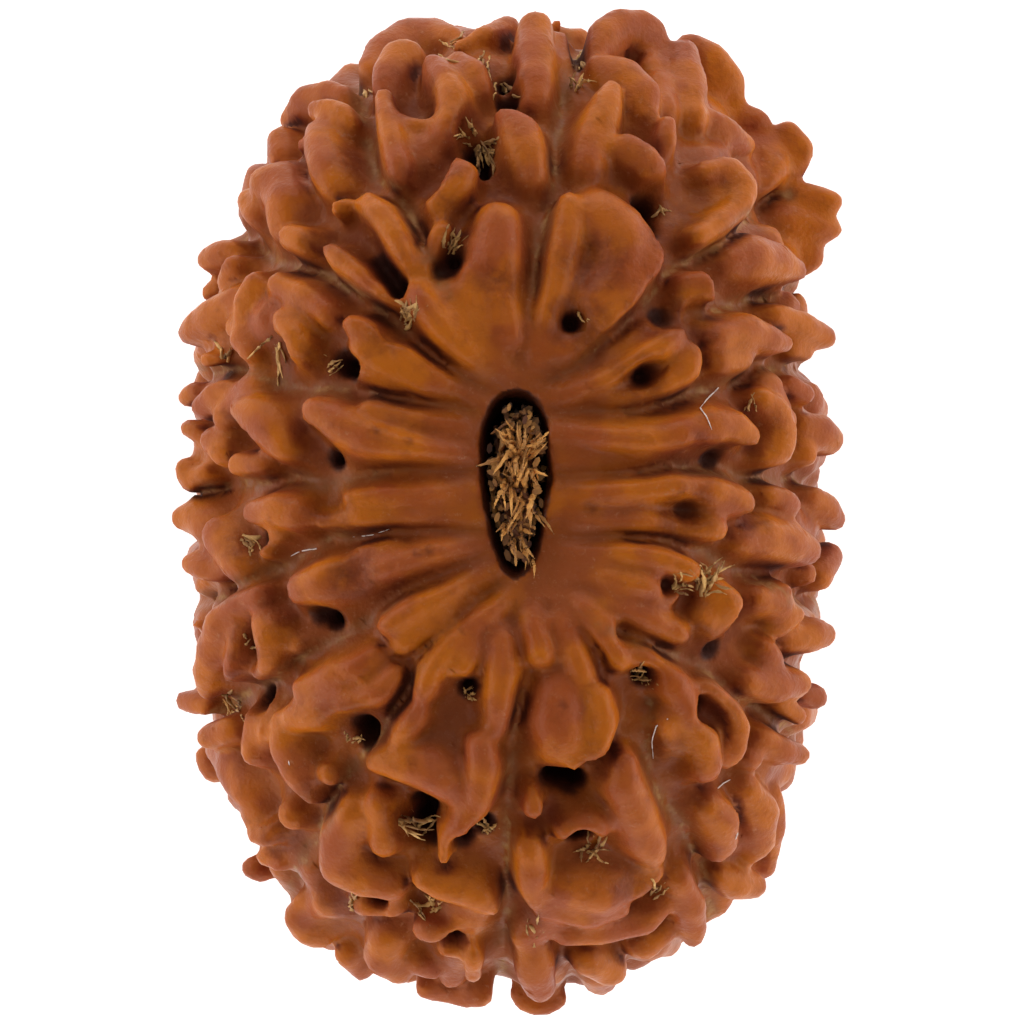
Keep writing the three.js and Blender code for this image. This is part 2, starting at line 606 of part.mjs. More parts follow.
// Distance to the seed's surface: the flesh of the ribs, grooved, with lobes on it and pits in it
function surfaceDistance(point, near) {
  const poleward = polewardAt(point.x, point.y);
  const depth = THREE.MathUtils.lerp(reliefDepth, poleReliefDepth, poleward) + dishDepth * poleward;
  const form = formAt(point);
  let distance = (form.value - 1) / form.slope.length() + depth;
  for (const segment of near.grooved) {
    distance = carved(distance, segmentDistance(segment, point), 0.5);
  }
  for (const segment of near.raised) {
    distance = joined(distance, segmentDistance(segment, point), 0.28);
  }
  for (const segment of near.sunk) {
    distance = carved(distance, segmentDistance(segment, point), 0.2);
  }
  return distance;
}

// How high the surface stands over a point of the form: the first met on the way in along its normal
function heightOver({ start, outwards }) {
  const meets = (segment) => {
    const reach = Math.max(segment.from.size, segment.to.size) + 0.6 + Math.sqrt(segment.square) / 2;
    const offset = segment.from.centre.clone().addScaledVector(segment.along, 0.5).sub(start);
    const aside = offset.lengthSq() - Math.pow(offset.dot(outwards), 2);
    return aside < reach * reach && offset.lengthSq() < 36;
  };
  const near = { raised: raised.filter(meets), sunk: sunk.filter(meets), grooved: grooved.filter(meets) };
  const at = (height) => surfaceDistance(start.clone().addScaledVector(outwards, height), near);
  let outer = highestTip;
  let inner = highestTip;
  while (at(inner) > 0 && inner > -deepestPit) {
    outer = inner;
    inner -= 0.08;
  }
  for (let i = 0; i < 8; i++) {
    const half = (inner + outer) / 2;
    if (at(half) > 0) {
      outer = half;
    } else {
      inner = half;
    }
  }
  return outer;
}

// Half the channel's width at a place along it, from -1 at its pointed end to 1 at its blunt one
function channelHalfWidth(place) {
  return 0.5 * channelWidth * Math.pow(Math.max(0, 1 - place * place), 0.4) * (1 + 0.25 * place);
}

const channelCentre = fromPlan(channelX, channelY);

// The point of the mouth's outline in a direction from its centre
function mouthPoint(angle) {
  let inner = 0;
  let outer = channelLength;
  for (let i = 0; i < 24; i++) {
    const radius = (inner + outer) / 2;
    const place = radius * Math.sin(angle) / (channelLength / 2);
    const inside = Math.abs(place) < 1 && Math.abs(radius * Math.cos(angle)) < channelHalfWidth(place);
    if (inside) {
      inner = radius;
    } else {
      outer = radius;
    }
  }
  return [channelCentre[0] + inner * Math.cos(angle), channelCentre[1] + inner * Math.sin(angle)];
}

function mouthAngle([x, y]) {
  return Math.atan2(y - channelCentre[1], x - channelCentre[0]);
}

// A point a share of the way along a groove, which starts on the mouth and ends on the outline
function along(groove, share) {
  const lengths = groove.slice(1).map((point, i) => Math.hypot(point[0] - groove[i][0], point[1] - groove[i][1]));
  let left = share * lengths.reduce((sum, length) => sum + length, 0);
  let i = 0;
  while (i < lengths.length - 1 && left > lengths[i]) {
    left -= lengths[i];
    i += 1;
  }
  const part = left / lengths[i];
  return [
    groove[i][0] + (groove[i + 1][0] - groove[i][0]) * part,
    groove[i][1] + (groove[i + 1][1] - groove[i][1]) * part,
  ];
}

function fromMouthToOutline(groove) {
  return [mouthPoint(mouthAngle(groove[0])), ...groove.slice(1)];
}

// A plan point between two grooves, share of the way from the first to the second, row of the way out
function between(first, second, share, row) {
  const a = along(first, row);
  const b = along(second, row);
  let x = a[0] + (b[0] - a[0]) * share;
  let y = a[1] + (b[1] - a[1]) * share;
  const angleA = mouthAngle(first[0]);
  const turn = ((mouthAngle(second[0]) - angleA - 3 * Math.PI) % (2 * Math.PI)) + Math.PI;
  const onMouth = mouthPoint(angleA + share * turn);
  const mouthPull = Math.pow(1 - row, 6);
  x += (onMouth[0] - first[0][0] - (second[0][0] - first[0][0]) * share) * mouthPull;
  y += (onMouth[1] - first[0][1] - (second[0][1] - first[0][1]) * share) * mouthPull;
  const wanted = THREE.MathUtils.lerp(ringOf(...a, 0), ringOf(...b, 0), share);
  const bulge = THREE.MathUtils.lerp(1, wanted / ringOf(x, y, 0), THREE.MathUtils.smoothstep(row, 0.1, 0.6));
  return [x * bulge, y * bulge];
}

// The columns of the mesh: each rib gets as many as its width at the outline needs
function columns(grooves) {
  const paths = grooves.map(fromMouthToOutline);
  return paths.flatMap((second, index) => {
    const first = paths[ribBefore(index)];
    const start = first[first.length - 1];
    const end = second[second.length - 1];
    const cells = Math.max(4, Math.round(Math.hypot(end[0] - start[0], end[1] - start[1]) / cellSize));
    return Array.from({ length: cells }, (_, i) => (row) => between(first, second, i / cells, row));
  });
}

// One row of points over the form, each with its outward direction and its height
function formRow(side, out, rowColumns) {
  return rowColumns.map((column) => {
    const start = pointOnForm(...column(out), 0, side);
    const outwards = formAt(start).slope.normalize();
    return { start, outwards, height: heightOver({ start, outwards }) };
  });
}

// Facets are as wide as a small lobe, so each height leans a little towards its neighbours'
function softened(rows) {
  return rows.map((row, r) => row.map((point, c) => {
    let height = point.height;
    if (r > 0 && r < rows.length - 1) {
      const around = [
        rows[r - 1][c], rows[r + 1][c], row[(c + 1) % row.length], row[(c + row.length - 1) % row.length],
      ];
      const mean = around.reduce((sum, other) => sum + other.height, 0) / around.length;
      height += (mean - height) * facetSoftness;
    }
    const place = point.start.clone().addScaledVector(point.outwards, height + facetAllowance);
    place.z = Math.max(0, place.z);
    return place;
  }));
}

// The outside from mouth to mouth, then back up the channel's wall
function seedGeometry() {
  const upper = columns(upperGrooves);
  const lower = columns(lowerGrooves);
  const count = upper.length;
  const outside = [];
  for (let i = 0; i <= sideRows; i++) {
    outside.push(formRow(1, Math.sin((i / sideRows) * (Math.PI / 2)), upper));
  }
  for (let i = sideRows - 1; i >= 0; i--) {
    outside.push(formRow(-1, Math.sin((i / sideRows) * (Math.PI / 2)), lower));
  }
  const rows = softened(outside);
  const top = rows[0];
  const bottom = rows[rows.length - 1];
  for (const [depth, share] of channelRows) {
    rows.push(top.map((point, i) => {
      const low = bottom[i].z;
      const z = share < 0.5 ? low + depth : share > 0.5 ? point.z - depth : (low + point.z) / 2;
      const neck = 1 - (1 - channelNeck) * Math.min(1, depth / channelMouthHeight);
      return new THREE.Vector3(
        channelCentre[0] + (point.x - channelCentre[0]) * neck,
        channelCentre[1] + (point.y - channelCentre[1]) * neck,
        z,
      );
    }));
  }
  const index = [];
  rows.forEach((row, r) => {
    const next = (r + 1) % rows.length;
    for (let c = 0; c < count; c++) {
      const right = (c + 1) % count;
      const corners = [r * count + c, r * count + right, next * count + right, next * count + c];
      const straight = row[c].distanceTo(rows[next][right]) < row[right].distanceTo(rows[next][c]);
      if (straight) {
        index.push(corners[0], corners[1], corners[2], corners[0], corners[2], corners[3]);
      } else {
        index.push(corners[0], corners[1], corners[3], corners[1], corners[2], corners[3]);
      }
    }
  });
  const geometry = new THREE.BufferGeometry().setFromPoints(rows.flat());
  geometry.setIndex(index);
  geometry.computeVertexNormals();
  return geometry;
}

const wasm = await Module();
wasm.setup();

function toSolid(geometry) {
  const bare = geometry.clone();
  bare.deleteAttribute('normal');
  bare.deleteAttribute('uv');
  const merged = mergeVertices(bare, 1e-4);
  return new wasm.Manifold(new wasm.Mesh({
    numProp: 3,
    vertProperties: new Float32Array(merged.attributes.position.array),
    triVerts: new Uint32Array(merged.index.array),
  }));
}

function toGeometry(solid) {
  const mesh = solid.getMesh();
  const geometry = new THREE.BufferGeometry();
  geometry.setAttribute('position', new THREE.BufferAttribute(new Float32Array(mesh.vertProperties), 3));
  geometry.setIndex(new THREE.BufferAttribute(new Uint32Array(mesh.triVerts), 1));
  geometry.computeVertexNormals();
  return geometry;
}

// Dried fibres in the channel: wavy strands side by side, grown together
function strand(index) {
  const y = (index - (strandCount - 1) / 2) * strandSpacing + channelCentre[1];
  const top = seedHeight - strandTopGap - draw(0, 0.8);
  const bottom = strandBottomGap + draw(0, 0.8);
  const points = [];
  for (let i = 0; i <= strandBends; i++) {
    const wave = strandWave * Math.sin(i * 1.7 + index * 2.1);
    const z = bottom + (top - bottom) * i / strandBends;
    points.push(new THREE.Vector3(channelCentre[0] + wave, y + 0.4 * wave, z));
  }
  const section = new THREE.Shape();
  for (let i = 0; i < 6; i++) {
    const angle = i * Math.PI / 3 + index * strandTurn;
    section.lineTo(strandRadius * Math.cos(angle), strandRadius * Math.sin(angle));
  }
  const extrudePath = new THREE.CatmullRomCurve3(points);
  return toSolid(new THREE.ExtrudeGeometry(section, { steps: strandSteps + index % 3, extrudePath }));
}

function coreFibresGeometry() {
  let bundle = strand(0);
  for (let i = 1; i < strandCount; i++) {
    bundle = bundle.add(strand(i));
  }
  return toGeometry(bundle);
}

const seed = new THREE.Mesh(
  seedGeometry(),
  new THREE.MeshStandardMaterial({ color: 0xa0552f, roughness: 0.55, metalness: 0 }),
);
seed.name = 'seed';

const coreFibres = new THREE.Mesh(
  coreFibresGeometry(),
  new THREE.MeshStandardMaterial({ color: 0xb0803f, roughness: 0.8, metalness: 0 }),
);
coreFibres.name = 'core_fibres';

const group = new THREE.Group();
group.add(seed, coreFibres);

export default group;
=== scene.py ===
# A rudraksha seed: woody stone with sixteen ribs, dried fibres in its channel, tufts in its pits
import math

import bpy
import numpy as np
import openvdb
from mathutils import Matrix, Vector


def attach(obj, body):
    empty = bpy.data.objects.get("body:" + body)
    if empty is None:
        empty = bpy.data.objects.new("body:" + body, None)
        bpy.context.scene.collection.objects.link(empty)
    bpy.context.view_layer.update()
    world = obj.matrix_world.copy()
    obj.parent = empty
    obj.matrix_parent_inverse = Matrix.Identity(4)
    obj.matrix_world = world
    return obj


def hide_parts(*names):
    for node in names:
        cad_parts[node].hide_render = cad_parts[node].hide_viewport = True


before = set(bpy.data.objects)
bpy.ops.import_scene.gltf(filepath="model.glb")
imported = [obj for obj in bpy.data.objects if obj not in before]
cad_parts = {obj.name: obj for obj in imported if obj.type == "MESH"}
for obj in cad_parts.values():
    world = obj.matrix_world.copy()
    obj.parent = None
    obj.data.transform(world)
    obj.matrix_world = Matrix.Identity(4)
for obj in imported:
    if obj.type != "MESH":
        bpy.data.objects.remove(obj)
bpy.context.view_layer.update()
print("frame loaded", sorted(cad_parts))

mm = 0.001

# The seed's form and relief, in millimetres; its box and its channel are those of the frame
seedForm = {
    "length": 30.0,          # along y, tip to tip
    "width": 19.9,           # along x
    "height": 21.0,
    "poleOverrun": 0.6,      # the plain form's poles, above and below the height
    "outlinePower": 2.4,     # 2 would be a plain ellipse seen from above
    "profilePower": 2.3,
    "relief": 1.1,           # from the outer tips down to the flesh between the lobes
    "poleRelief": 0.72,      # the same, round the channel
    "poleReach": 0.38,       # the ring at which the relief is well on its way from one to the other
    "dishDepth": 0.85,       # the poles are sunk round the channel
    "dishWidth": 3.4,
    "dishLength": 5.2,
    "footRadius": 1.4,
    "footCut": 0.25,         # the feet are worn flat this far
    "footRing": 0.47,
    "groundGap": 0.12,
    "thinnestLobe": 0.17,
    "dropShare": 1.3,        # deepens what the plan gives as a lobe's drop
    "crown": 1.06,           # a lobe's width at its top, as a share of its drawn width
    "flankDepth": 0.42,      # from a lobe's top down to its flanks
    "flankSpread": 0.06,     # by which they are broader than the lobe is drawn
    "baseDepth": 0.85,       # and down to its base, broader still
    "baseSpread": 0.2,
    "flankBlend": 0.4,
    "lobeBlend": 0.14,
    "creaseDepth": 0.32,     # between lobes that touch
    "creaseWidth": 0.19,
    "creaseReach": 0.8,
    "softness": 2,           # rounds of softening that the lobes get
    "swell": 0.08,           # makes up for what the softening takes off their tips
    "finDepths": [0.0, 0.35, 0.7, 1.05, 1.4, 1.75],
    "finReach": 1.3,
    "seamDepth": 0.34,       # the seam between two ribs
    "seamWidth": 0.17,
    "hollowStart": 0.75,     # a hollow's depth is counted from here, under the outer form
    "hollowSize": 1.4,       # its ball, as a share of its drawn radius
    "hollowBlend": 0.5,
    "lumps": 0.04,           # height of the flesh's own unevenness
    "lumpSpacing": 1.1,
    "fineLumps": 0.25,       # a finer unevenness in it, as shares of these two
    "fineLumpSpacing": 0.4,
    "voxel": 0.145,          # fineness of the surface
    "plainer": 0.12,         # how far its flatter stretches are made of larger faces
    "randomSeed": 1616,
}

# The channel from pole to pole
channel = {
    "width": 1.9,
    "length": 5.5,
    "planX": 516,
    "planY": 483,
    "endPower": 0.4,         # 0.5 would make its plan an ellipse
    "lopsided": 0.25,        # how much wider it is towards its blunt end
    "neck": 0.84,            # inside, as a share of its mouths
    "mouthHeight": 2.2,
    "upperLip": 0.9,         # where the upper mouth starts to narrow, below the height
    "lowerLip": 0.3,         # and the lower one, above the ground
    "lipBlend": 0.15,
    "ragged": 0.14,          # how uneven its wall is
    "raggedSpacing": 0.55,
}

# The rule for what the plan doesn't draw: rows of lobes, on each rib as many as fit across it. Radii
# and drops are in steps of the plan, and a ring is 0 at the middle and 1 on the outline
lobeRule = {
    "ringSpacing": 2.3,
    "lobeSpacing": 2.2,
    "firstRow": 0.3,         # how far round from the outline the first row lies, in rows
    "stray": 0.3,            # along the row, as a share of a lobe's own stretch
    "farthestOut": 1.2,
    "lean": [0.6, 2.5],      # radians from level
    "twist": 0.9,
    "drop": [0, 10],
    "rootDrop": [2, 8],      # further down for a lobe's root
    "rootRadius": [19, 28],
    "tipRadius": [14, 20],
    "reach": [0.4, 1.0],     # millimetres from a lobe's middle to its root and to its tip
    "rimRing": 0.94,         # beyond this ring a lobe lies rimDrop further down
    "rimDrop": 10,
    "keepOff": 0.42,         # millimetres between a lobe's root and the drawn lobes
    "keepOffSize": 0.35,
    "lowestDrawnRing": 0.8,
    "hangLimit": 1.1,
    "grooveWobble": 0.5,
    "nearOutline": 0.97,
    "mouthRing": 0.3,
    "ridgeRings": [0.46, 0.34, 0.24],
    "ridgeRadius": [6, 28],  # at ring 0, and what it gains up to ring 1
    "ridgeDrop": 5,
}

# A pit is a main hollow and two lesser ones beside it, as shares of its drawn radius and depth
pitShape = {
    "narrowest": 0.26,       # millimetres
    "mouth": 1.3,
    "bottom": 0.6,
    "lesser": [0.75, 0.55],
    "lesserMouth": 1.2,
    "beside": [0.5, 0.9],
    "lesserDepth": [0.4, 0.8],
    "leanIn": 0.6,
    "blend": 0.3,
}

# The plan of the upper side, drawn looking straight down on the channel: x runs to the right and
# y down, and planLength steps make the seed's length. A lobe is a stroke of [x, y, radius, drop]
# points, where drop is how far its top lies under the outer form. A pit and a hollow are
# [x, y, radius, depth].
# Each rib is followed, clockwise, by its groove, which opens at its point number opens.
planLength = 1007
planCentreX = 508
planCentreY = 511.5

ribs = {
    "north": {
        "opens": 2,
        "groove": [
            [530, 396], [533, 345], [533, 296], [541, 238], [553, 182], [560, 116], [576, 70],
            [580, 26],
        ],
        "lobes": [
            [[376, 78, 19, 8], [386, 56, 19, 6], [408, 42, 19, 4], [436, 38, 16, 4], [460, 42, 11, 8]],
            [[404, 64, 20, 0], [393, 78, 17, 1], [386, 93, 12, 5]],
            [[386, 102, 10, 0], [390, 122, 12, 0], [395, 146, 14, 0], [400, 168, 14, 2],
             [402, 186, 10, 8]],
            [[398, 120, 8, 8], [414, 129, 10, 7], [432, 124, 10, 6]],
            [[436, 70, 13, 0], [446, 84, 17, 0], [454, 104, 17, 0], [448, 128, 16, 3],
             [440, 146, 15, 8]],
            [[456, 64, 11, 3], [472, 78, 13, 2], [480, 94, 10, 8]],
            [[422, 150, 13, 10], [430, 160, 14, 12]],
            [[460, 52, 9, 6], [484, 42, 11, 3], [508, 31, 12, 3]], [[499, 26, 8, 8]],
            [[536, 34, 17, 1], [536, 60, 19, 0], [536, 88, 17, 3], [536, 106, 13, 9]],
            [[536, 17, 9, 4]],
            [[508, 122, 12, 0], [520, 140, 18, 0], [528, 160, 18, 2], [534, 182, 15, 9]],
            [[467, 170, 13, 0], [456, 190, 18, 0], [443, 212, 17, 5]],
            [[464, 232, 7, 5], [452, 224, 7, 5], [440, 230, 7, 6], [430, 246, 8, 5], [428, 264, 9, 6],
             [436, 284, 10, 8]],
            [[496, 232, 24, 2], [494, 262, 27, 3], [496, 294, 24, 7], [506, 336, 18, 11]],
            [[470, 270, 10, 6], [474, 300, 16, 8], [488, 336, 16, 11]],
            [[408, 288, 15, 4], [424, 306, 17, 3], [444, 328, 17, 5], [474, 354, 14, 9],
             [498, 378, 10, 17]],
            [[446, 292, 14, 9], [466, 326, 15, 9], [488, 356, 13, 12], [505, 376, 11, 16]],
        ],
        "pits": [
            [508, 58, 8, 70], [509, 80, 9, 80], [510, 100, 8, 70], [476, 128, 15, 85],
            [478, 148, 15, 85], [421, 104, 9, 45], [451, 250, 10, 60], [442, 261, 7, 40],
        ],
        "hollows": [
            [412, 90, 13, 14], [468, 116, 11, 16], [440, 177, 11, 12], [424, 176, 9, 10],
            [492, 178, 11, 18], [458, 213, 9, 8], [499, 282, 8, 2],
        ],
    },
    "northNorthEast": {
        "opens": 0,
        "groove": [
            [550, 385], [590, 355], [640, 310], [668, 272], [716, 251], [746, 221], [776, 193],
            [808, 176],
        ],
        "lobes": [
            [[558, 42, 10, 10], [566, 68, 10, 14], [572, 92, 9, 18]], [[556, 26, 10, 4]],
            [[577, 34, 10, 6]],
            [[594, 60, 14, 4], [602, 40, 15, 1], [618, 28, 14, 0], [640, 26, 12, 0], [655, 37, 12, 0],
             [659, 56, 12, 1], [652, 72, 12, 6]],
            [[612, 48, 10, 6]],
            [[690, 48, 13, 8], [712, 60, 14, 6], [726, 80, 14, 4], [740, 102, 12, 6]],
            [[598, 74, 18, 4], [620, 84, 20, 0], [640, 102, 18, 1], [646, 118, 11, 6]],
            [[612, 93, 9, 0], [606, 108, 13, 0], [600, 128, 16, 2], [594, 148, 18, 4],
             [586, 172, 18, 9]],
            [[606, 148, 14, 4], [626, 153, 16, 0], [643, 162, 14, 0], [650, 172, 12, 2],
             [645, 184, 8, 8]],
            [[665, 125, 8, 0], [664, 142, 9, 3], [662, 156, 9, 10]],
            [[680, 58, 17, 5], [682, 80, 20, 1], [686, 102, 20, 1], [692, 122, 16, 5]],
            [[702, 122, 16, 4], [722, 136, 15, 3], [742, 150, 12, 7]],
            [[738, 108, 14, 4], [758, 123, 12, 4]],
            [[754, 146, 14, 4], [771, 152, 17, 0], [774, 168, 14, 1], [766, 186, 9, 6]],
            [[786, 134, 12, 2], [798, 150, 13, 2], [794, 172, 11, 6]],
            [[704, 178, 12, 6], [723, 176, 15, 0], [738, 192, 15, 0], [736, 212, 15, 0],
             [718, 230, 14, 0], [696, 241, 12, 2]],
            [[714, 202, 17, 8]],
            [[598, 224, 33, 3], [622, 248, 33, 0], [614, 282, 32, 2], [590, 316, 26, 6],
             [566, 350, 18, 12]],
            [[572, 214, 18, 5], [562, 262, 19, 8], [552, 310, 17, 10], [540, 356, 12, 16]],
            [[646, 220, 12, 4], [655, 246, 12, 2], [651, 270, 12, 1], [632, 298, 12, 2],
             [606, 328, 11, 4], [582, 356, 9, 10]],
        ],
        "pits": [[636, 54, 11, 60], [664, 190, 15, 80], [664, 210, 15, 80], [576, 316, 9, 60]],
        "hollows": [
            [624, 181, 11, 14], [642, 136, 10, 12], [690, 200, 14, 18], [594, 264, 18, 0],
            [578, 322, 15, 8], [748, 168, 10, 6], [674, 238, 11, 14],
        ],
    },
    "northEast": {
        "opens": 3,
        "groove": [
            [552, 399], [602, 364], [654, 328], [700, 318], [724, 310], [750, 300], [799, 293],
            [812, 298],
        ],
        "lobes": [
            [[786, 192, 12, 6], [808, 198, 14, 2], [830, 206, 12, 0]],
            [[774, 218, 16, 6], [798, 222, 19, 0], [820, 228, 17, 0], [833, 226, 10, 3]],
            [[722, 262, 18, 6], [742, 262, 25, 0], [768, 266, 20, 0], [792, 274, 12, 2]],
            [[684, 290, 15, 4], [699, 289, 14, 0], [711, 301, 10, 0], [716, 309, 8, 2]],
            [[688, 298, 10, 6], [650, 326, 9, 11], [604, 360, 7, 16]],
            [[812, 250, 13, 4], [806, 266, 12, 8]], [[804, 286, 10, 6]],
        ],
        "pits": [[675, 313, 9, 45]],
        "hollows": [[670, 312, 13, 12], [726, 288, 10, 2]],
    },
    "eastNorthEast": {
        "opens": 0,
        "groove": [[550, 415], [630, 410], [675, 399], [741, 380], [757, 368], [774, 370], [806, 376]],
        "lobes": [
            [[562, 398, 9, 18], [600, 384, 11, 12], [636, 362, 13, 4], [668, 342, 13, 1],
             [688, 330, 11, 2]],
            [[600, 404, 8, 18], [636, 396, 10, 12], [664, 388, 12, 7], [684, 372, 13, 3],
             [688, 350, 12, 2]],
            [[712, 340, 19, 3], [738, 336, 20, 0], [764, 342, 14, 0], [782, 345, 9, 0]],
            [[716, 364, 14, 8], [744, 362, 12, 8]],
            [[770, 316, 13, 6], [798, 328, 14, 3], [822, 339, 11, 0]],
            [[788, 352, 12, 8], [806, 356, 9, 6]],
        ],
        "pits": [[655, 372, 9, 50]],
        "hollows": [[644, 376, 10, 10], [700, 330, 9, 4]],
    },
    "east": {
        "opens": 0,
        "groove": [[555, 475], [630, 476], [666, 467], [716, 471], [741, 479], [774, 479], [809, 488]],
        "lobes": [
            [[560, 432, 11, 18], [600, 438, 14, 12], [640, 442, 16, 7], [676, 436, 19, 3],
             [704, 430, 21, 1], [730, 432, 17, 0], [747, 438, 10, 0]],
            [[570, 458, 9, 20], [640, 462, 10, 16], [690, 458, 9, 14]],
            [[756, 398, 12, 5], [772, 410, 15, 1], [778, 430, 16, 0], [774, 450, 14, 2],
             [762, 460, 10, 8]],
            [[796, 424, 15, 8], [812, 434, 18, 2], [828, 440, 13, 0]], [[800, 452, 16, 6]],
            [[784, 384, 12, 8], [800, 396, 12, 3]],
        ],
        "pits": [[735, 457, 8, 50]],
        "hollows": [[726, 457, 10, 10], [754, 444, 8, 10], [700, 452, 8, 0]],
    },
    "eastSouthEast": {
        "opens": 0,
        "groove": [
            [550, 535], [650, 535], [693, 546], [716, 561], [741, 576], [766, 583], [791, 599],
            [812, 604],
        ],
        "lobes": [
            [[560, 498, 11, 18], [620, 490, 14, 10], [672, 486, 16, 4], [708, 490, 18, 1],
             [732, 500, 16, 0], [748, 509, 10, 0]],
            [[580, 522, 10, 18], [640, 522, 12, 12], [684, 528, 14, 7], [712, 526, 13, 4]],
            [[764, 494, 12, 8], [780, 502, 13, 3], [790, 509, 9, 2]],
            [[736, 538, 16, 8], [756, 536, 20, 3], [782, 540, 20, 0], [804, 550, 13, 0]],
            [[804, 496, 14, 8], [822, 510, 14, 3], [834, 520, 9, 1]],
            [[826, 556, 13, 3], [814, 578, 14, 5]], [[800, 574, 13, 8]],
        ],
        "pits": [[699, 511, 10, 32]],
        "hollows": [[692, 512, 12, 4], [762, 512, 9, 4]],
    },
    "southEast": {
        "opens": 0,
        "groove": [
            [545, 583], [600, 625], [650, 645], [686, 659], [708, 671], [733, 692], [766, 712],
            [784, 728],
        ],
        "lobes": [
            [[572, 556, 10, 18], [620, 552, 12, 10], [660, 558, 13, 4], [686, 570, 12, 1]],
            [[562, 574, 10, 18], [606, 576, 11, 11], [642, 584, 12, 7], [668, 592, 12, 6]],
            [[575, 590, 9, 17], [612, 600, 11, 12], [650, 618, 14, 8], [676, 634, 14, 8]],
            [[706, 590, 14, 7], [720, 602, 16, 2], [732, 618, 14, 0], [740, 632, 10, 0]],
            [[700, 612, 14, 8], [712, 630, 12, 8]],
            [[752, 596, 15, 6], [774, 598, 17, 1], [790, 612, 12, 1], [776, 628, 10, 6]],
            [[762, 648, 12, 6], [772, 662, 12, 6]],
            [[784, 638, 14, 6], [806, 632, 17, 1], [822, 634, 11, 0]],
            [[742, 682, 16, 7], [768, 682, 19, 3], [794, 683, 14, 0]],
            [[796, 694, 10, 6], [814, 697, 11, 0]], [[792, 714, 12, 4], [776, 704, 12, 6]],
        ],
        "pits": [[748, 620, 9, 50], [735, 652, 9, 50], [676, 586, 6, 35]],
        "hollows": [[706, 650, 10, 4], [756, 632, 10, 8], [724, 654, 10, 8]],
    },
    "southSouthEast": {
        "opens": 3,
        "groove": [
            [533, 583], [562, 617], [602, 655], [648, 700], [645, 745], [655, 790], [680, 820],
            [700, 860], [706, 915],
        ],
        "lobes": [
            [[612, 636, 11, 12], [642, 654, 14, 7], [668, 680, 17, 4], [684, 706, 18, 1],
             [696, 736, 20, 0], [702, 762, 17, 0]],
            [[660, 716, 14, 8], [672, 744, 14, 8]],
            [[700, 682, 9, 6], [716, 690, 9, 2], [732, 704, 9, 0], [738, 724, 9, 0], [732, 746, 10, 3],
             [722, 760, 8, 8]],
            [[704, 802, 14, 7], [718, 816, 16, 1], [720, 838, 14, 3], [712, 852, 10, 8]],
            [[742, 784, 16, 6], [756, 806, 18, 2], [752, 836, 18, 2], [742, 854, 12, 5]],
            [[758, 736, 14, 6], [776, 748, 15, 1], [796, 753, 10, 0]], [[748, 756, 14, 7]],
            [[712, 872, 14, 8], [732, 880, 16, 3], [752, 884, 12, 4]],
            [[772, 786, 9, 6], [770, 826, 12, 3], [762, 866, 12, 4]],
        ],
        "pits": [[708, 710, 8, 60], [654, 676, 9, 60]],
        "hollows": [[714, 726, 9, 12], [694, 806, 10, 4], [676, 764, 10, 4]],
    },
    "south": {
        "opens": 2,
        "groove": [
            [520, 590], [522, 640], [520, 690], [510, 770], [506, 836], [508, 903], [503, 944],
            [501, 984],
        ],
        "lobes": [
            [[528, 600, 10, 16], [536, 626, 13, 9], [542, 652, 14, 5]],
            [[548, 590, 11, 16], [580, 606, 14, 8], [606, 630, 15, 4], [622, 656, 13, 6]],
            [[560, 616, 12, 10], [572, 650, 14, 8], [580, 676, 14, 6]],
            [[562, 690, 26, 6], [560, 716, 34, 2], [566, 736, 30, 0]],
            [[596, 694, 13, 3], [602, 718, 12, 1], [594, 744, 13, 0], [570, 758, 13, 0]],
            [[538, 790, 9, 6], [534, 804, 12, 0]],
            [[622, 760, 13, 2], [624, 780, 18, 0], [632, 806, 22, 0], [642, 834, 20, 2],
             [650, 856, 15, 5]],
            [[528, 842, 15, 5], [530, 868, 17, 3], [534, 892, 15, 3], [542, 910, 12, 3]],
            [[566, 880, 26, 4], [596, 886, 28, 2], [628, 876, 22, 3], [652, 866, 14, 6]],
            [[552, 906, 14, 3], [590, 908, 16, 4], [620, 904, 12, 6]],
            [[566, 826, 14, 5], [594, 822, 16, 4]],
            [[528, 938, 18, 5], [534, 962, 18, 2], [540, 984, 14, 0]],
            [[522, 998, 11, 6], [540, 1003, 12, 2], [557, 997, 11, 4]],
            [[560, 930, 12, 8], [600, 926, 12, 8], [640, 918, 12, 8], [664, 900, 11, 8]],
            [[586, 954, 16, 5], [610, 966, 15, 4]], [[640, 940, 16, 4], [664, 928, 12, 6]],
            [[676, 874, 14, 7], [686, 900, 16, 2], [692, 924, 12, 2], [692, 936, 9, 4]],
        ],
        "pits": [[560, 790, 15, 80], [581, 792, 13, 80], [584, 846, 12, 70]],
        "hollows": [
            [596, 762, 11, 18], [548, 816, 9, 10], [584, 854, 12, 6], [640, 886, 12, 0],
            [522, 918, 9, 6],
        ],
    },
    "southSouthWest": {
        "opens": 0,
        "groove": [
            [505, 580], [473, 606], [434, 643], [408, 684], [382, 731], [361, 756], [344, 780],
            [320, 830], [300, 865], [287, 896],
        ],
        "lobes": [
            [[512, 592, 11, 16], [484, 614, 15, 8], [450, 642, 16, 5], [430, 668, 15, 3],
             [422, 694, 12, 4]],
            [[420, 706, 11, 6], [404, 728, 13, 6], [398, 744, 12, 8]],
            [[500, 636, 13, 9], [502, 668, 15, 5], [500, 700, 15, 4], [496, 726, 13, 8]],
            [[474, 640, 13, 8], [462, 664, 13, 6]],
            [[380, 752, 16, 7], [404, 756, 18, 3], [428, 764, 18, 2], [448, 776, 18, 2],
             [464, 796, 14, 4]],
            [[484, 740, 14, 2], [484, 764, 15, 0], [478, 790, 15, 0], [466, 814, 14, 0],
             [452, 836, 11, 0], [442, 854, 8, 0]],
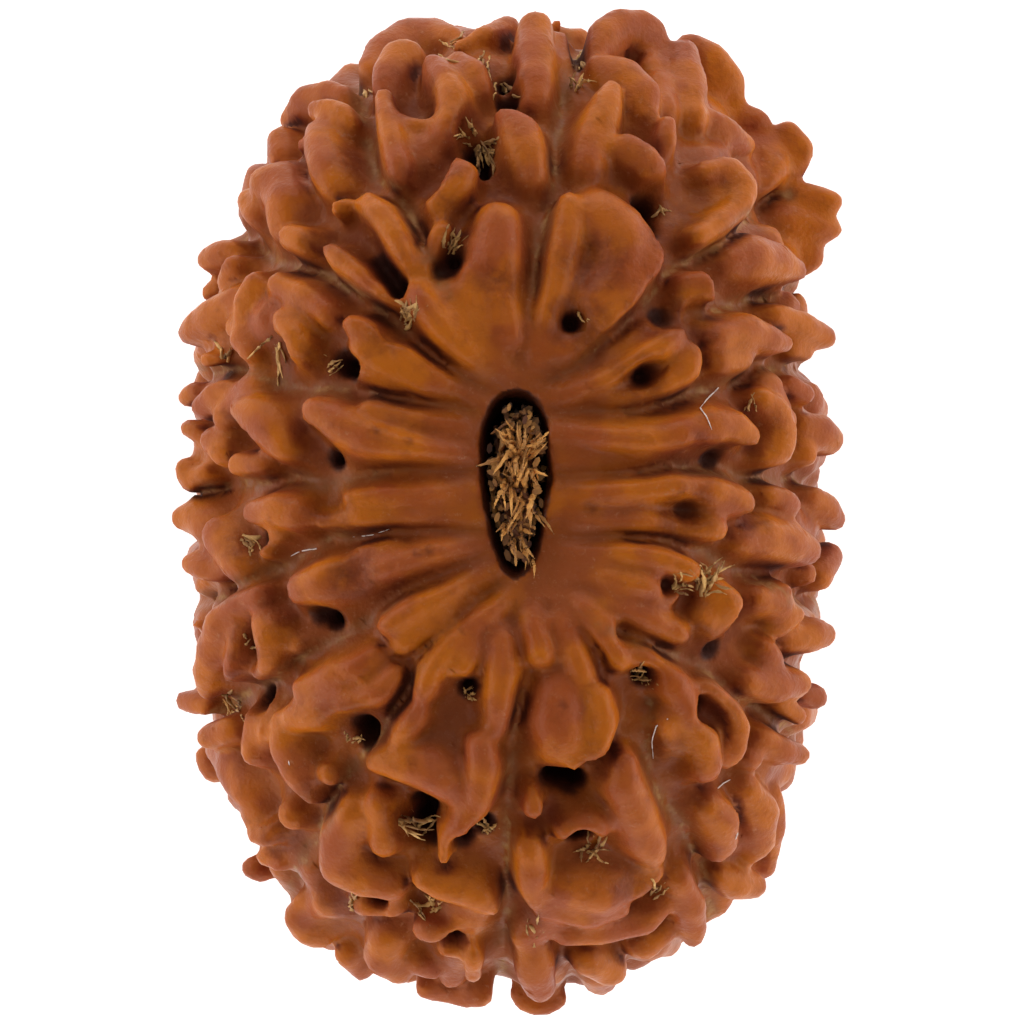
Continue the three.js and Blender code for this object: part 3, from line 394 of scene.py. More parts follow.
            [[356, 806, 20, 3], [342, 832, 22, 0], [346, 858, 22, 1], [370, 872, 20, 3],
             [394, 882, 15, 5]],
            [[380, 800, 16, 5], [386, 836, 15, 6]],
            [[428, 876, 15, 5], [456, 880, 17, 3], [480, 890, 16, 4], [494, 902, 12, 7]],
            [[424, 924, 10, 3], [438, 926, 13, 0], [454, 922, 10, 3]],
            [[466, 936, 12, 3], [472, 954, 11, 0], [473, 972, 8, 0]],
            [[306, 894, 12, 6], [300, 914, 13, 3], [306, 928, 12, 4], [324, 936, 11, 5]],
            [[336, 899, 8, 3], [336, 907, 6, 6]],
            [[388, 930, 18, 5], [386, 952, 18, 3], [402, 964, 16, 3]],
            [[346, 950, 13, 4], [364, 966, 13, 3]], [[420, 958, 15, 6], [436, 966, 12, 8]],
            [[430, 984, 13, 4], [446, 990, 9, 6], [464, 992, 12, 3], [482, 992, 11, 3]],
            [[356, 900, 12, 8], [396, 900, 12, 8]],
        ],
        "pits": [
            [466, 692, 9, 60], [418, 822, 14, 85], [416, 848, 15, 90], [480, 834, 9, 70],
            [462, 848, 8, 60], [417, 901, 8, 60], [369, 910, 9, 60], [454, 950, 7, 50],
        ],
        "hollows": [
            [464, 714, 8, 2], [404, 812, 10, 12], [322, 908, 10, 8], [340, 926, 10, 2],
            [444, 944, 9, 8], [402, 830, 9, 14],
        ],
    },
    "southWest": {
        "opens": 0,
        "groove": [
            [490, 548], [429, 582], [397, 600], [353, 632], [316, 648], [299, 661], [270, 684],
            [256, 689], [206, 716],
        ],
        "lobes": [
            [[392, 622, 14, 2], [412, 610, 15, 4], [450, 594, 12, 9], [492, 574, 10, 18]],
            [[404, 640, 12, 8], [440, 618, 12, 10], [482, 592, 9, 16]],
            [[292, 716, 15, 0], [320, 706, 17, 0], [350, 700, 17, 1], [378, 692, 16, 3],
             [396, 674, 12, 6]],
            [[306, 688, 13, 4], [334, 676, 14, 3], [360, 668, 13, 4], [378, 654, 11, 8]],
            [[284, 716, 13, 1], [290, 742, 17, 0], [304, 768, 17, 2], [320, 794, 14, 4]],
            [[330, 772, 13, 8], [340, 784, 10, 8]], [[384, 716, 12, 6], [374, 736, 9, 8]],
            [[226, 744, 18, 4], [244, 762, 24, 3], [256, 788, 24, 2], [268, 816, 22, 3]],
            [[214, 736, 13, 4], [236, 728, 14, 5]], [[204, 756, 9, 2], [216, 768, 14, 5]],
            [[250, 812, 14, 2], [258, 830, 12, 0], [280, 832, 14, 3]], [[296, 812, 14, 8]],
            [[270, 852, 13, 5], [288, 862, 13, 5]], [[252, 868, 10, 2], [268, 874, 9, 5]],
            [[266, 726, 8, 2], [264, 740, 8, 6]],
        ],
        "pits": [[350, 738, 12, 70], [353, 748, 9, 60]],
        "hollows": [[340, 728, 13, 8], [312, 802, 9, 4], [272, 846, 10, 2], [360, 724, 10, 6]],
    },
    "westSouthWest": {
        "opens": 0,
        "groove": [
            [485, 530], [391, 529], [336, 537], [311, 554], [290, 566], [253, 577], [223, 595],
            [200, 600],
        ],
        "lobes": [
            [[306, 588, 17, 1], [330, 580, 20, 0], [358, 572, 19, 2], [392, 562, 15, 6],
             [440, 550, 12, 11], [482, 546, 9, 18]],
            [[360, 552, 10, 8], [400, 544, 9, 12]],
            [[262, 594, 12, 4], [240, 602, 14, 3], [226, 622, 16, 2], [218, 648, 16, 2],
             [214, 672, 15, 2], [212, 688, 11, 5]],
            [[204, 624, 10, 3]], [[186, 700, 9, 0], [200, 702, 12, 1], [214, 708, 12, 5]],
            [[266, 620, 14, 2], [276, 634, 18, 0], [274, 656, 16, 3], [262, 672, 12, 7]],
            [[300, 644, 10, 12]],
        ],
        "pits": [[313, 622, 12, 70], [300, 614, 8, 50], [241, 702, 12, 60], [240, 640, 8, 45]],
        "hollows": [[276, 604, 10, 4], [242, 648, 12, 6], [352, 578, 12, 0], [232, 690, 10, 4]],
    },
    "west": {
        "opens": 0,
        "groove": [
            [483, 470], [419, 467], [361, 478], [328, 487], [303, 478], [260, 482], [223, 488],
            [188, 494],
        ],
        "lobes": [
            [[350, 500, 12, 6], [390, 498, 12, 8], [430, 496, 11, 11], [472, 496, 9, 18]],
            [[322, 520, 11, 7], [370, 518, 11, 9], [420, 516, 10, 12], [478, 518, 9, 18]],
            [[262, 514, 15, 2], [284, 511, 18, 0], [306, 516, 15, 3]], [[280, 532, 12, 8]],
            [[186, 517, 11, 0], [202, 514, 17, 1], [216, 528, 18, 3], [222, 548, 13, 6]],
            [[196, 563, 10, 0], [210, 566, 13, 3], [230, 572, 12, 7]], [[270, 548, 12, 9]],
        ],
        "pits": [[246, 537, 9, 55]],
        "hollows": [[236, 536, 12, 4], [322, 504, 10, 2]],
    },
    "westNorthWest": {
        "opens": 0,
        "groove": [[485, 412], [419, 405], [361, 393], [311, 390], [276, 383], [240, 370], [203, 381]],
        "lobes": [
            [[322, 414, 18, 0], [344, 426, 21, 0], [370, 438, 19, 2], [400, 446, 15, 5],
             [424, 450, 12, 9], [460, 454, 9, 15]],
            [[372, 408, 12, 9], [420, 420, 10, 13], [460, 428, 8, 17]],
            [[246, 408, 14, 1], [262, 416, 19, 0], [278, 432, 20, 1], [290, 448, 15, 5]],
            [[208, 408, 12, 4], [222, 396, 14, 4], [238, 390, 12, 7]],
            [[216, 440, 13, 3], [230, 452, 15, 4]], [[190, 398, 9, 0], [204, 390, 11, 4]],
            [[191, 430, 9, 0], [204, 436, 10, 4]],
            [[190, 468, 12, 0], [196, 486, 11, 2], [212, 474, 13, 5]],
            [[244, 466, 12, 7], [268, 466, 12, 8]],
        ],
        "pits": [[318, 458, 10, 60]],
        "hollows": [[310, 446, 11, 12], [302, 434, 9, 8], [226, 430, 8, 6]],
    },
    "northWest": {
        "opens": 0,
        "groove": [[487, 395], [440, 365], [375, 306], [324, 276], [280, 263], [251, 241], [238, 234]],
        "lobes": [
            [[356, 330, 12, 0], [378, 340, 14, 1], [404, 358, 13, 4], [440, 382, 11, 10],
             [478, 402, 9, 18]],
            [[360, 352, 13, 2], [386, 368, 13, 4], [420, 384, 11, 9], [462, 400, 8, 15]],
            [[362, 374, 10, 8], [400, 390, 9, 12]],
            [[190, 334, 9, 0], [203, 328, 16, 0], [222, 318, 20, 2], [244, 304, 17, 6]],
            [[262, 290, 15, 4], [252, 312, 18, 2], [250, 336, 18, 1], [256, 356, 13, 5]],
            [[284, 288, 14, 6], [308, 300, 16, 6], [332, 318, 12, 9]],
            [[290, 322, 15, 3], [298, 338, 17, 1], [306, 352, 14, 4]],
            [[212, 262, 12, 2], [226, 256, 13, 4], [240, 250, 10, 8]],
            [[238, 268, 12, 4], [228, 286, 10, 6]], [[214, 292, 10, 4], [222, 284, 10, 8]],
            [[214, 362, 12, 9], [228, 368, 10, 8]],
        ],
        "pits": [[328, 362, 13, 65], [340, 366, 9, 55], [222, 358, 6, 30], [275, 347, 6, 40]],
        "hollows": [[318, 366, 12, 12], [276, 336, 7, 10], [390, 330, 10, 6]],
    },
    "northNorthWest": {
        "opens": 2,
        "groove": [
            [504, 390], [478, 345], [450, 300], [430, 262], [413, 221], [401, 196], [378, 181],
            [371, 154], [364, 113], [356, 82],
        ],
        "lobes": [
            [[316, 112, 9, 2], [330, 114, 11, 0], [346, 120, 11, 4], [354, 128, 9, 8]],
            [[292, 124, 12, 6], [308, 104, 14, 4], [330, 98, 12, 6], [350, 100, 12, 8]],
            [[320, 136, 14, 2], [326, 152, 18, 0], [332, 172, 18, 0], [340, 190, 14, 6]],
            [[284, 142, 14, 4], [284, 160, 14, 6]], [[302, 146, 8, 4]],
            [[270, 190, 18, 4], [288, 190, 24, 2], [296, 210, 24, 2], [290, 228, 18, 6]],
            [[292, 240, 12, 2], [306, 246, 12, 2], [318, 254, 9, 8]],
            [[252, 202, 12, 2], [262, 216, 15, 4]], [[340, 212, 8, 2], [354, 206, 8, 6]],
            [[368, 208, 12, 4], [384, 220, 14, 0], [398, 240, 14, 0], [410, 262, 12, 2],
             [408, 284, 10, 6]],
            [[330, 250, 11, 0], [344, 262, 14, 0], [366, 280, 13, 2], [390, 298, 10, 4],
             [404, 312, 8, 8]],
        ],
        "pits": [[369, 256, 9, 45], [380, 269, 9, 50], [392, 283, 9, 55]],
        "hollows": [[350, 236, 12, 10], [362, 244, 10, 10], [318, 238, 9, 4], [350, 146, 10, 6]],
    },
}

step = seedForm["length"] / planLength
middleZ = seedForm["height"] / 2
halfWidth = seedForm["width"] / 2
halfLength = seedForm["length"] / 2
halfHeight = seedForm["height"] / 2 + seedForm["poleOverrun"]
outlinePower = seedForm["outlinePower"]
profilePower = seedForm["profilePower"]
ribList = list(ribs.values())
randomState = seedForm["randomSeed"]


def draw(low, high):
    global randomState
    randomState = (randomState * 16807) % 2147483647
    return low + (high - low) * randomState / 2147483647


def fromPlan(x, y):
    return [(x - planCentreX) * step, (planCentreY - y) * step]


# How far out a plan point lies: 0 at the middle, 1 on the outline of the form drawn in by depth
def ringOf(x, y, depth=0.0):
    across = np.abs(x) / (halfWidth - depth)
    along = np.abs(y) / (halfLength - depth)
    return (across ** outlinePower + along ** outlinePower) ** (1 / outlinePower)


def polewardAt(x, y):
    return np.exp(-(x / seedForm["dishWidth"]) ** 2 - (y / seedForm["dishLength"]) ** 2)


# The point of the form, drawn in by depth, over or under a plan point
def pointOnForm(x, y, depth, side):
    ring = min(1.0, ringOf(x, y, depth))
    rise = (halfHeight - depth) * (1 - ring ** profilePower) ** (1 / profilePower)
    return np.array([x, y, middleZ + side * max(0.0, rise - seedForm["dishDepth"] * polewardAt(x, y))])


# The plain form: value is below 1 inside it and above 1 outside, slope is its gradient
def formAt(x, y, z):
    across = np.abs(x) / halfWidth
    along = np.abs(y) / halfLength
    height = np.abs(z - middleZ) / halfHeight
    ring = np.maximum(1e-6, ringOf(x, y))
    value = (ring ** profilePower + height ** profilePower) ** (1 / profilePower)
    share = np.maximum(value, 1e-3) ** (1 - profilePower)
    flat = share * ring ** (profilePower - outlinePower)
    return value, (
        np.sign(x) * flat * across ** (outlinePower - 1) / halfWidth,
        np.sign(y) * flat * along ** (outlinePower - 1) / halfLength,
        np.sign(z - middleZ) * share * height ** (profilePower - 1) / halfHeight,
    )


def outwardsAt(point):
    slope = np.array(formAt(*point)[1])
    return slope / np.linalg.norm(slope)


# A point of a lobe's crown, the top from which its flank and its base are then made
def lobePoint(x, y, radius, drop, side):
    size = max(radius * step * seedForm["crown"], seedForm["thinnestLobe"])
    centre = pointOnForm(x, y, size + drop * seedForm["dropShare"] * step, side)
    centre[2] = max(centre[2], size + seedForm["groundGap"])
    return centre, size


# A drawn lobe points outwards from its innermost point, and doesn't hang down the seed's side
def drawnLobe(lobe):
    stroke = [lobePoint(*fromPlan(x, y), radius, drop, 1) for x, y, radius, drop in lobe]
    highest = max(stroke, key=lambda point: point[0][2])[0]
    for centre, size in stroke:
        away = math.hypot(centre[0] - highest[0], centre[1] - highest[1])
        centre[2] = max(centre[2], highest[2] - lobeRule["hangLimit"] * away)
    return stroke


# A groove on the upper side stays inside the outline, and its last point is on it
def upperGroove(planPoints):
    points = []
    for i, planPoint in enumerate(planPoints):
        x, y = fromPlan(*planPoint)
        ring = ringOf(x, y)
        inwards = ring if i == len(planPoints) - 1 else max(1.0, ring / lobeRule["nearOutline"])
        points.append([x / inwards, y / inwards])
    return points


# A groove on the lower side runs from the channel's lower mouth to its upper groove's outer end
def lowerGroove(upper):
    inner, outer = upper[0], upper[-1]
    bend = draw(-lobeRule["grooveWobble"], lobeRule["grooveWobble"])
    reach = [outer[0] - inner[0], outer[1] - inner[1]]
    long = math.hypot(*reach)
    stretches = 9
    points = []
    for i in range(stretches + 1):
        share = math.sin(i / stretches * math.pi / 2)
        sideways = bend * math.sin(2 * math.pi * i / stretches) / long
        points.append([inner[0] + reach[0] * share - reach[1] * sideways,
                       inner[1] + reach[1] * share + reach[0] * sideways])
    return points


drawnLobes = [drawnLobe(lobe) for rib in ribList for lobe in rib["lobes"]]
upperGrooves = [upperGroove(rib["groove"]) for rib in ribList]
lowerGrooves = [lowerGroove(groove) for groove in upperGrooves]


# Where a groove crosses a ring
def crossing(groove, ring):
    best, nearest = groove[0], math.inf
    looks = 8
    for i in range(1, len(groove)):
        for part in range(looks + 1):
            x = groove[i - 1][0] + (groove[i][0] - groove[i - 1][0]) * part / looks
            y = groove[i - 1][1] + (groove[i][1] - groove[i - 1][1]) * part / looks
            miss = abs(ringOf(x, y) - ring)
            if miss < nearest:
                best, nearest = [x, y], miss
    return best


# A point sunk under a point of the outer form, which may first be moved along the form
def sunkPoint(x, y, side, radius, drop, move, lean):
    size = radius * step
    centre = pointOnForm(x, y, 0.0, side)
    outwards = outwardsAt(centre)
    level = np.array([-outwards[1], outwards[0], 0.0])
    level /= np.linalg.norm(level)
    steep = np.cross(outwards, level)
    centre = centre + level * move * math.cos(lean) + steep * move * math.sin(lean)
    size *= seedForm["crown"]
    centre = centre - outwards * (size + drop * step)
    centre[2] = max(centre[2], size + seedForm["groundGap"])
    return centre, size


def ruleRow(start, end, ring, side):
    rule = lobeRule
    strokes = []
    count = max(1, math.floor(math.dist(start, end) / rule["lobeSpacing"] + 0.5))
    for i in range(count):
        share = (i + 0.5 + draw(-rule["stray"], rule["stray"])) / count
        x = start[0] + (end[0] - start[0]) * share
        y = start[1] + (end[1] - start[1]) * share
        outwards = min(rule["farthestOut"], ring / max(ringOf(x, y), 0.05))
        lean = draw(*rule["lean"])
        drop = draw(*rule["drop"]) + (rule["rimDrop"] if ring > rule["rimRing"] else 0)
        x, y = x * outwards, y * outwards
        root = sunkPoint(x, y, side, draw(*rule["rootRadius"]), drop + draw(*rule["rootDrop"]),
                         draw(*rule["reach"]), lean)
        tip = sunkPoint(x, y, side, draw(*rule["tipRadius"]), drop,
                        draw(*rule["reach"]), lean + math.pi + draw(-rule["twist"], rule["twist"]))
        strokes.append([root, tip])
    return strokes


def ruleLobes():
    strokes = []
    rows = math.floor(math.pi / 2 * (halfHeight + halfWidth) / 2 / lobeRule["ringSpacing"] + 0.5)
    for side in (1, -1):
        grooves = upperGrooves if side > 0 else lowerGrooves
        lastRing = lobeRule["lowestDrawnRing"] if side > 0 else lobeRule["mouthRing"]
        for row in range(rows):
            ring = math.cos((row + lobeRule["firstRow"]) / rows * math.pi / 2)
            if ring > lastRing:
                for index, groove in enumerate(grooves):
                    start = crossing(grooves[index - 1], ring)
                    strokes += ruleRow(start, crossing(groove, ring), ring, side)
    taken = [(centre, max(size, lobeRule["keepOffSize"])) for stroke in drawnLobes for centre, size in stroke]
    keepOff = lobeRule["keepOff"]
    return [stroke for stroke in strokes
            if all(math.dist(centre, stroke[0][0]) > keepOff + size for centre, size in taken)]


# The middle of each rib on the lower side, at a ring
def lowerRibMiddle(index, ring):
    a = crossing(lowerGrooves[index - 1], ring)
    b = crossing(lowerGrooves[index], ring)
    return [(a[0] + b[0]) / 2, (a[1] + b[1]) / 2]


# Low ridges run to the lower mouth, one on each rib
def mouthRidges():
    narrow, gain = lobeRule["ridgeRadius"]
    ridges = []
    for index in range(len(ribList)):
        ridge = []
        for ring in lobeRule["ridgeRings"]:
            x, y = lowerRibMiddle(index, ring)
            ridge.append(lobePoint(x, y, narrow + gain * ring, lobeRule["ridgeDrop"], -1))
        ridges.append(ridge)
    return ridges


# The seed stands on blunt lobes round the lower mouth, one on every second rib
def feet():
    strokes = []
    for index in range(0, len(ribList), 2):
        x, y = lowerRibMiddle(index, seedForm["footRing"])
        radius = seedForm["footRadius"]
        strokes.append([(np.array([x, y, radius - seedForm["footCut"]]), radius)])
    return strokes


# The hollows of one pit; the lesser ones keep its rim from being round
def pitStroke(planX, planY, radius, depth):
    shape = pitShape
    mouth = pointOnForm(*fromPlan(planX, planY), 0.0, 1)
    outwards = outwardsAt(mouth)
    size = max(radius * step, shape["narrowest"])
    strokes = [[(mouth + outwards * size, shape["mouth"] * size),
                (mouth - outwards * depth * step, shape["bottom"] * size)]]
    for share in shape["lesser"]:
        turn = pitRandom.uniform(0, 2 * math.pi)
        beside = np.array([math.cos(turn), math.sin(turn), 0.0]) * size * pitRandom.uniform(*shape["beside"])
        deep = depth * step * pitRandom.uniform(*shape["lesserDepth"])
        strokes.append([(mouth + beside + outwards * size * share, shape["lesserMouth"] * size * share),
                        (mouth + shape["leanIn"] * beside - outwards * deep, shape["bottom"] * size * share)])
    return strokes


# A hollow is one wide, soft ball
def hollowStroke(planX, planY, radius, depth):
    mouth = pointOnForm(*fromPlan(planX, planY), 0.0, 1)
    size = seedForm["hollowSize"] * radius * step
    below = seedForm["hollowStart"] + depth * step
    return [(mouth + outwardsAt(mouth) * (size - below), size)]


# A lobe's flank or its base: the lobe's own stroke, broader and sunk along the form's normal
def sunkStroke(stroke, depth, spread):
    deeper = []
    for centre, size in stroke:
        wide = size / seedForm["crown"] + spread
        moved = centre - outwardsAt(centre) * (depth + wide - size)
        moved[2] = max(moved[2], wide + seedForm["groundGap"])
        deeper.append((moved, wide))
    return deeper


def joinedBy(first, second):
    return [[a, b] for one, other in zip(first, second) for a, b in zip(one, other)]


# The fins along which the ribs part: each groove's line, at several depths
def grooveFins():
    fins = []
    for grooves, side in ((upperGrooves, 1), (lowerGrooves, -1)):
        for index, groove in enumerate(grooves):
            opens = ribList[index]["opens"] if side > 0 else 0
            for depth in seedForm["finDepths"]:
                fins.append([(pointOnForm(x, y, depth, side), 0.0) for x, y in groove[opens:]])
    return fins


fins = grooveFins()
crowns = drawnLobes + ruleLobes() + mouthRidges()
flanks = [sunkStroke(stroke, seedForm["flankDepth"], seedForm["flankSpread"]) for stroke in crowns]
bases = [sunkStroke(stroke, seedForm["baseDepth"], seedForm["baseSpread"]) for stroke in crowns]
footStrokes = feet()
pitRandom = np.random.default_rng(seedForm["randomSeed"])
pitStrokes = [stroke for rib in ribList for pit in rib["pits"] for stroke in pitStroke(*pit)]
hollowStrokes = [hollowStroke(*hollow) for rib in ribList for hollow in rib["hollows"]]
pitCount = sum(len(rib["pits"]) for rib in ribList)
print("relief laid out:", len(crowns), "lobes,", pitCount, "pits,", len(upperGrooves), "grooves")


def segments(strokes):
    pairs = []
    for stroke in strokes:
        if len(stroke) == 1:
            pairs.append((stroke[0], stroke[0]))
        pairs += list(zip(stroke[:-1], stroke[1:]))
    return pairs


def joined(a, b, softness):
    near = np.maximum(softness - np.abs(a - b), 0) / softness
    return np.minimum(a, b) - near * near * softness / 4


def carved(a, b, softness):
    return -joined(-a, b, softness)


# The block of space that holds the seed, as a distance to its surface at every voxel
voxel = seedForm["voxel"]
blockMargin = np.array([0.7, 0.7, 0.6])
blockLow = np.array([-halfWidth, -halfLength, 0.0]) - blockMargin
blockHigh = np.array([halfWidth, halfLength, seedForm["height"]]) + blockMargin
blockCount = np.ceil((blockHigh - blockLow) / voxel).astype(int) + 1
axes = [(blockLow[i] + voxel * np.arange(blockCount[i])).astype(np.float32) for i in range(3)]
farAway = 9.0


def segmentDistance(x, y, z, segment):
    (start, startSize), (end, endSize) = segment
    along = end - start
    square = max(float(along @ along), 1e-9)
    dx, dy, dz = x - start[0], y - start[1], z - start[2]
    share = np.clip((dx * along[0] + dy * along[1] + dz * along[2]) / square, 0, 1)
    dx = dx - share * along[0]
    dy = dy - share * along[1]
    dz = dz - share * along[2]
    return np.sqrt(dx * dx + dy * dy + dz * dz) - startSize - share * (endSize - startSize)


# The voxels round one segment
def around(segment, margin):
    (start, startSize), (end, endSize) = segment
    reach = max(startSize, endSize) + margin
    low = np.floor((np.minimum(start, end) - reach - blockLow) / voxel).astype(int)
    high = np.ceil((np.maximum(start, end) + reach - blockLow) / voxel).astype(int) + 1
    cut = tuple(slice(max(0, low[i]), max(0, high[i])) for i in range(3))
    return cut, axes[0][cut[0], None, None], axes[1][None, cut[1], None], axes[2][None, None, cut[2]]


def joinStrokes(field, strokes, softness):
    for segment in segments(strokes):
        cut, x, y, z = around(segment, softness + 2 * voxel)
        field[cut] = joined(field[cut], segmentDistance(x, y, z, segment), softness)


def carveStrokes(field, strokes, softness):
    for segment in segments(strokes):
        cut, x, y, z = around(segment, softness + 2 * voxel)
        field[cut] = carved(field[cut], segmentDistance(x, y, z, segment), softness)


# Soft random unevenness: a coarse lattice of random heights, read smoothly between its points
def lumps(spacing, seed):
    rng = np.random.default_rng(seed)
    counts = [int((blockHigh[i] - blockLow[i]) / spacing) + 4 for i in range(3)]
    lattice = rng.uniform(-1, 1, counts).astype(np.float32)
    for i in range(3):
        place = (axes[i] - blockLow[i]) / spacing
        base = np.floor(place).astype(int)
        part = place - base
        part = part * part * (3 - 2 * part)
        shape = [1, 1, 1]
        shape[i] = len(part)
        part = part.reshape(shape).astype(np.float32)
        lattice = np.take(lattice, base, axis=i) * (1 - part) + np.take(lattice, base + 1, axis=i) * part
    return lattice


# Half the channel's width at a place along it, from -1 at its pointed end to 1 at its blunt one
def channelHalfWidth(place):
    rounded = np.maximum(0, 1 - place * place) ** channel["endPower"]
    return 0.5 * channel["width"] * rounded * (1 + channel["lopsided"] * place)


channelCentre = fromPlan(channel["planX"], channel["planY"])


def channelDistance(x, y, z):
    fromMouth = np.minimum(z - channel["lowerLip"], seedForm["height"] - channel["upperLip"] - z)
    mouthShare = np.clip(fromMouth / channel["mouthHeight"], 0, 1)
    neck = 1 - (1 - channel["neck"]) * mouthShare
    place = (y - channelCentre[1]) / neck / (channel["length"] / 2)
    half = channelHalfWidth(np.clip(place, -1, 1))
    side = np.abs(x - channelCentre[0]) - half * neck
    ends = (np.abs(place) - 1) * channel["length"] / 2
    return np.maximum(side, ends)


# How far each voxel is from the nearest fin
def finDistance():
    distance = np.full([len(axis) for axis in axes], farAway, np.float32)
    for segment in segments(fins):
        cut, x, y, z = around(segment, seedForm["finReach"])
        distance[cut] = np.minimum(distance[cut], segmentDistance(x, y, z, segment))
    return distance


# How far each voxel is from the crease between the two lobes nearest to it
def creaseDistance():
    nearest = np.full([len(axis) for axis in axes], farAway, np.float32)
    second = nearest.copy()
    for stroke in crowns:
        low = np.min([centre - size for centre, size in stroke], axis=0)
        high = np.max([centre + size for centre, size in stroke], axis=0)
        cut, x, y, z = around(((low, 0.0), (high, 0.0)), seedForm["creaseReach"])
        distance = np.minimum.reduce([segmentDistance(x, y, z, segment) for segment in segments([stroke])])
        second[cut] = np.minimum(second[cut], np.maximum(nearest[cut], distance))
        nearest[cut] = np.minimum(nearest[cut], distance)
    return second - nearest


# Softens a field by averaging each voxel with its neighbours along every axis
def softened(values, rounds):
    for _ in range(rounds):
        for axis in range(3):
            before, after = np.roll(values, 1, axis), np.roll(values, -1, axis)
            values = (0.5 * values + 0.25 * (before + after)).astype(np.float32)
    return values


# The slope's size: how fast the plain form's value grows, per millimetre
def steepnessOf(slope):
    return np.sqrt(slope[0] ** 2 + slope[1] ** 2 + slope[2] ** 2)


def seedField():
    x, y, z = axes[0][:, None, None], axes[1][None, :, None], axes[2][None, None, :]
    value, slope = formAt(x, y, z)
    plain = (value - 1) / np.maximum(steepnessOf(slope), 1e-3)
    flatter = np.exp(-(ringOf(x, y) / seedForm["poleReach"]) ** 2)
    relief = seedForm["relief"] + (seedForm["poleRelief"] - seedForm["relief"]) * flatter
    field = (plain + relief + seedForm["dishDepth"] * polewardAt(x, y)).astype(np.float32)
    joinStrokes(field, bases + flanks, seedForm["flankBlend"])
    joinStrokes(field, joinedBy(crowns, flanks), seedForm["lobeBlend"])
    joinStrokes(field, crowns, seedForm["lobeBlend"])
    field += seedForm["creaseDepth"] * np.exp(-(creaseDistance() / seedForm["creaseWidth"]) ** 2)
    carveStrokes(field, hollowStrokes, seedForm["hollowBlend"])
    field = softened(field, seedForm["softness"]) - seedForm["swell"]
    fin = finDistance()
    field += seedForm["seamDepth"] * np.exp(-fin / seedForm["seamWidth"])
    joinStrokes(field, footStrokes, seedForm["lobeBlend"])
    carveStrokes(field, pitStrokes, pitShape["blend"])
    field = softened(field, 1)
    field += seedForm["lumps"] * lumps(seedForm["lumpSpacing"], seedForm["randomSeed"])
    fineSpacing = seedForm["fineLumpSpacing"] * seedForm["lumpSpacing"]
    field += seedForm["fineLumps"] * seedForm["lumps"] * lumps(fineSpacing, seedForm["randomSeed"] + 1)
    ragged = channel["ragged"] * lumps(channel["raggedSpacing"], seedForm["randomSeed"] + 2)
    field[:] = carved(field, channelDistance(x, y, z) + ragged, channel["lipBlend"])
    return np.maximum(field, -z).astype(np.float32), fin, ragged


# Values of a field at points given in millimetres
def sampled(field, points):
    place = np.clip((points - blockLow) / voxel, 0, np.array(field.shape) - 1.001)
    base = place.astype(int)
    part = place - base
    total = np.zeros(len(points))
    for corner in range(8):
        offset = np.array([corner & 1, corner >> 1 & 1, corner >> 2 & 1])
        weight = np.prod(np.where(offset == 1, part, 1 - part), axis=1)
        index = base + offset
        total += weight * field[index[:, 0], index[:, 1], index[:, 2]]
    return total


def meshFromArrays(name, points, faces):
    mesh = bpy.data.meshes.new(name)
    mesh.from_pydata((points * mm).tolist(), [], faces)
    mesh.validate()
    mesh.polygons.foreach_set("use_smooth", [True] * len(mesh.polygons))
    mesh.update()
    return mesh


def addObject(name, mesh):
    piece = bpy.data.objects.new(name, mesh)
    bpy.context.scene.collection.objects.link(piece)
    return piece


def setAttribute(mesh, name, values):
    attribute = mesh.attributes.new(name, "FLOAT", "POINT")
    attribute.data.foreach_set("value", np.asarray(values, dtype=np.float32))


# What the stone's material reads from the form, in millimetres: how far out it looks for open air and
# how far in for the far side of the flesh, and how its tones fade
skinReading = {
    "near": 0.5,
    "wide": 1.3,
    "inwards": 1.1,
    "cleanRing": 0.3,        # inside this ring the seams hold little earth
    "cleanShare": 0.5,
    "lineReach": 1.5,
    "pitSize": 0.2,
    "pitFade": 0.28,
    "hollowFade": 0.5,
    "stainFade": 1.2,        # as a share of a stain's drawn radius
    "rimFade": 0.14,         # how the painted dark brown shade on the channel's wall fades round its mouth
}


# How near each point is to any of the strokes' middle lines, in millimetres
def nearestLine(points, strokes):
    best = np.full(len(points), farAway)
    for (start, startSize), (end, endSize) in segments(strokes):
        low = np.minimum(start, end) - skinReading["lineReach"]
        high = np.maximum(start, end) + skinReading["lineReach"]
        inside = np.nonzero(np.all((points > low) & (points < high), axis=1))[0]
        if len(inside):
            along = end - start
            offset = points[inside] - start
            share = np.clip(offset @ along / max(float(along @ along), 1e-9), 0, 1)
            distance = np.linalg.norm(offset - share[:, None] * along, axis=1)
            best[inside] = np.minimum(best[inside], distance)
    return best


# Purple-brown stains in the flesh, as [x, y, radius] on the plan
stains = [[376, 434, 8], [410, 443, 6], [407, 456, 5], [352, 576, 10], [344, 570, 6], [430, 550, 7],
          [418, 552, 6], [562, 701, 7], [590, 506, 9], [499, 279, 8], [413, 757, 8]]


def stainAt(points):
    stain = np.zeros(len(points))
    for planX, planY, radius in stains:
        x, y = fromPlan(planX, planY)
        square = (points[:, 0] - x) ** 2 + (points[:, 1] - y) ** 2
        size = skinReading["stainFade"] * (radius * step)
        stain = np.maximum(stain, np.exp(-square / size ** 2) * (points[:, 2] > middleZ))
    return stain


# The painted shade of the carved hollows: 1 in and near each hollow's ball, fading outwards
def hollowAt(points):
    inside = np.zeros(len(points))
    for [(centre, size)] in hollowStrokes:
        distance = np.linalg.norm(points - centre, axis=1) - size
        inside = np.maximum(inside, np.exp(-(np.maximum(0, distance) / skinReading["hollowFade"]) ** 2))
    return inside


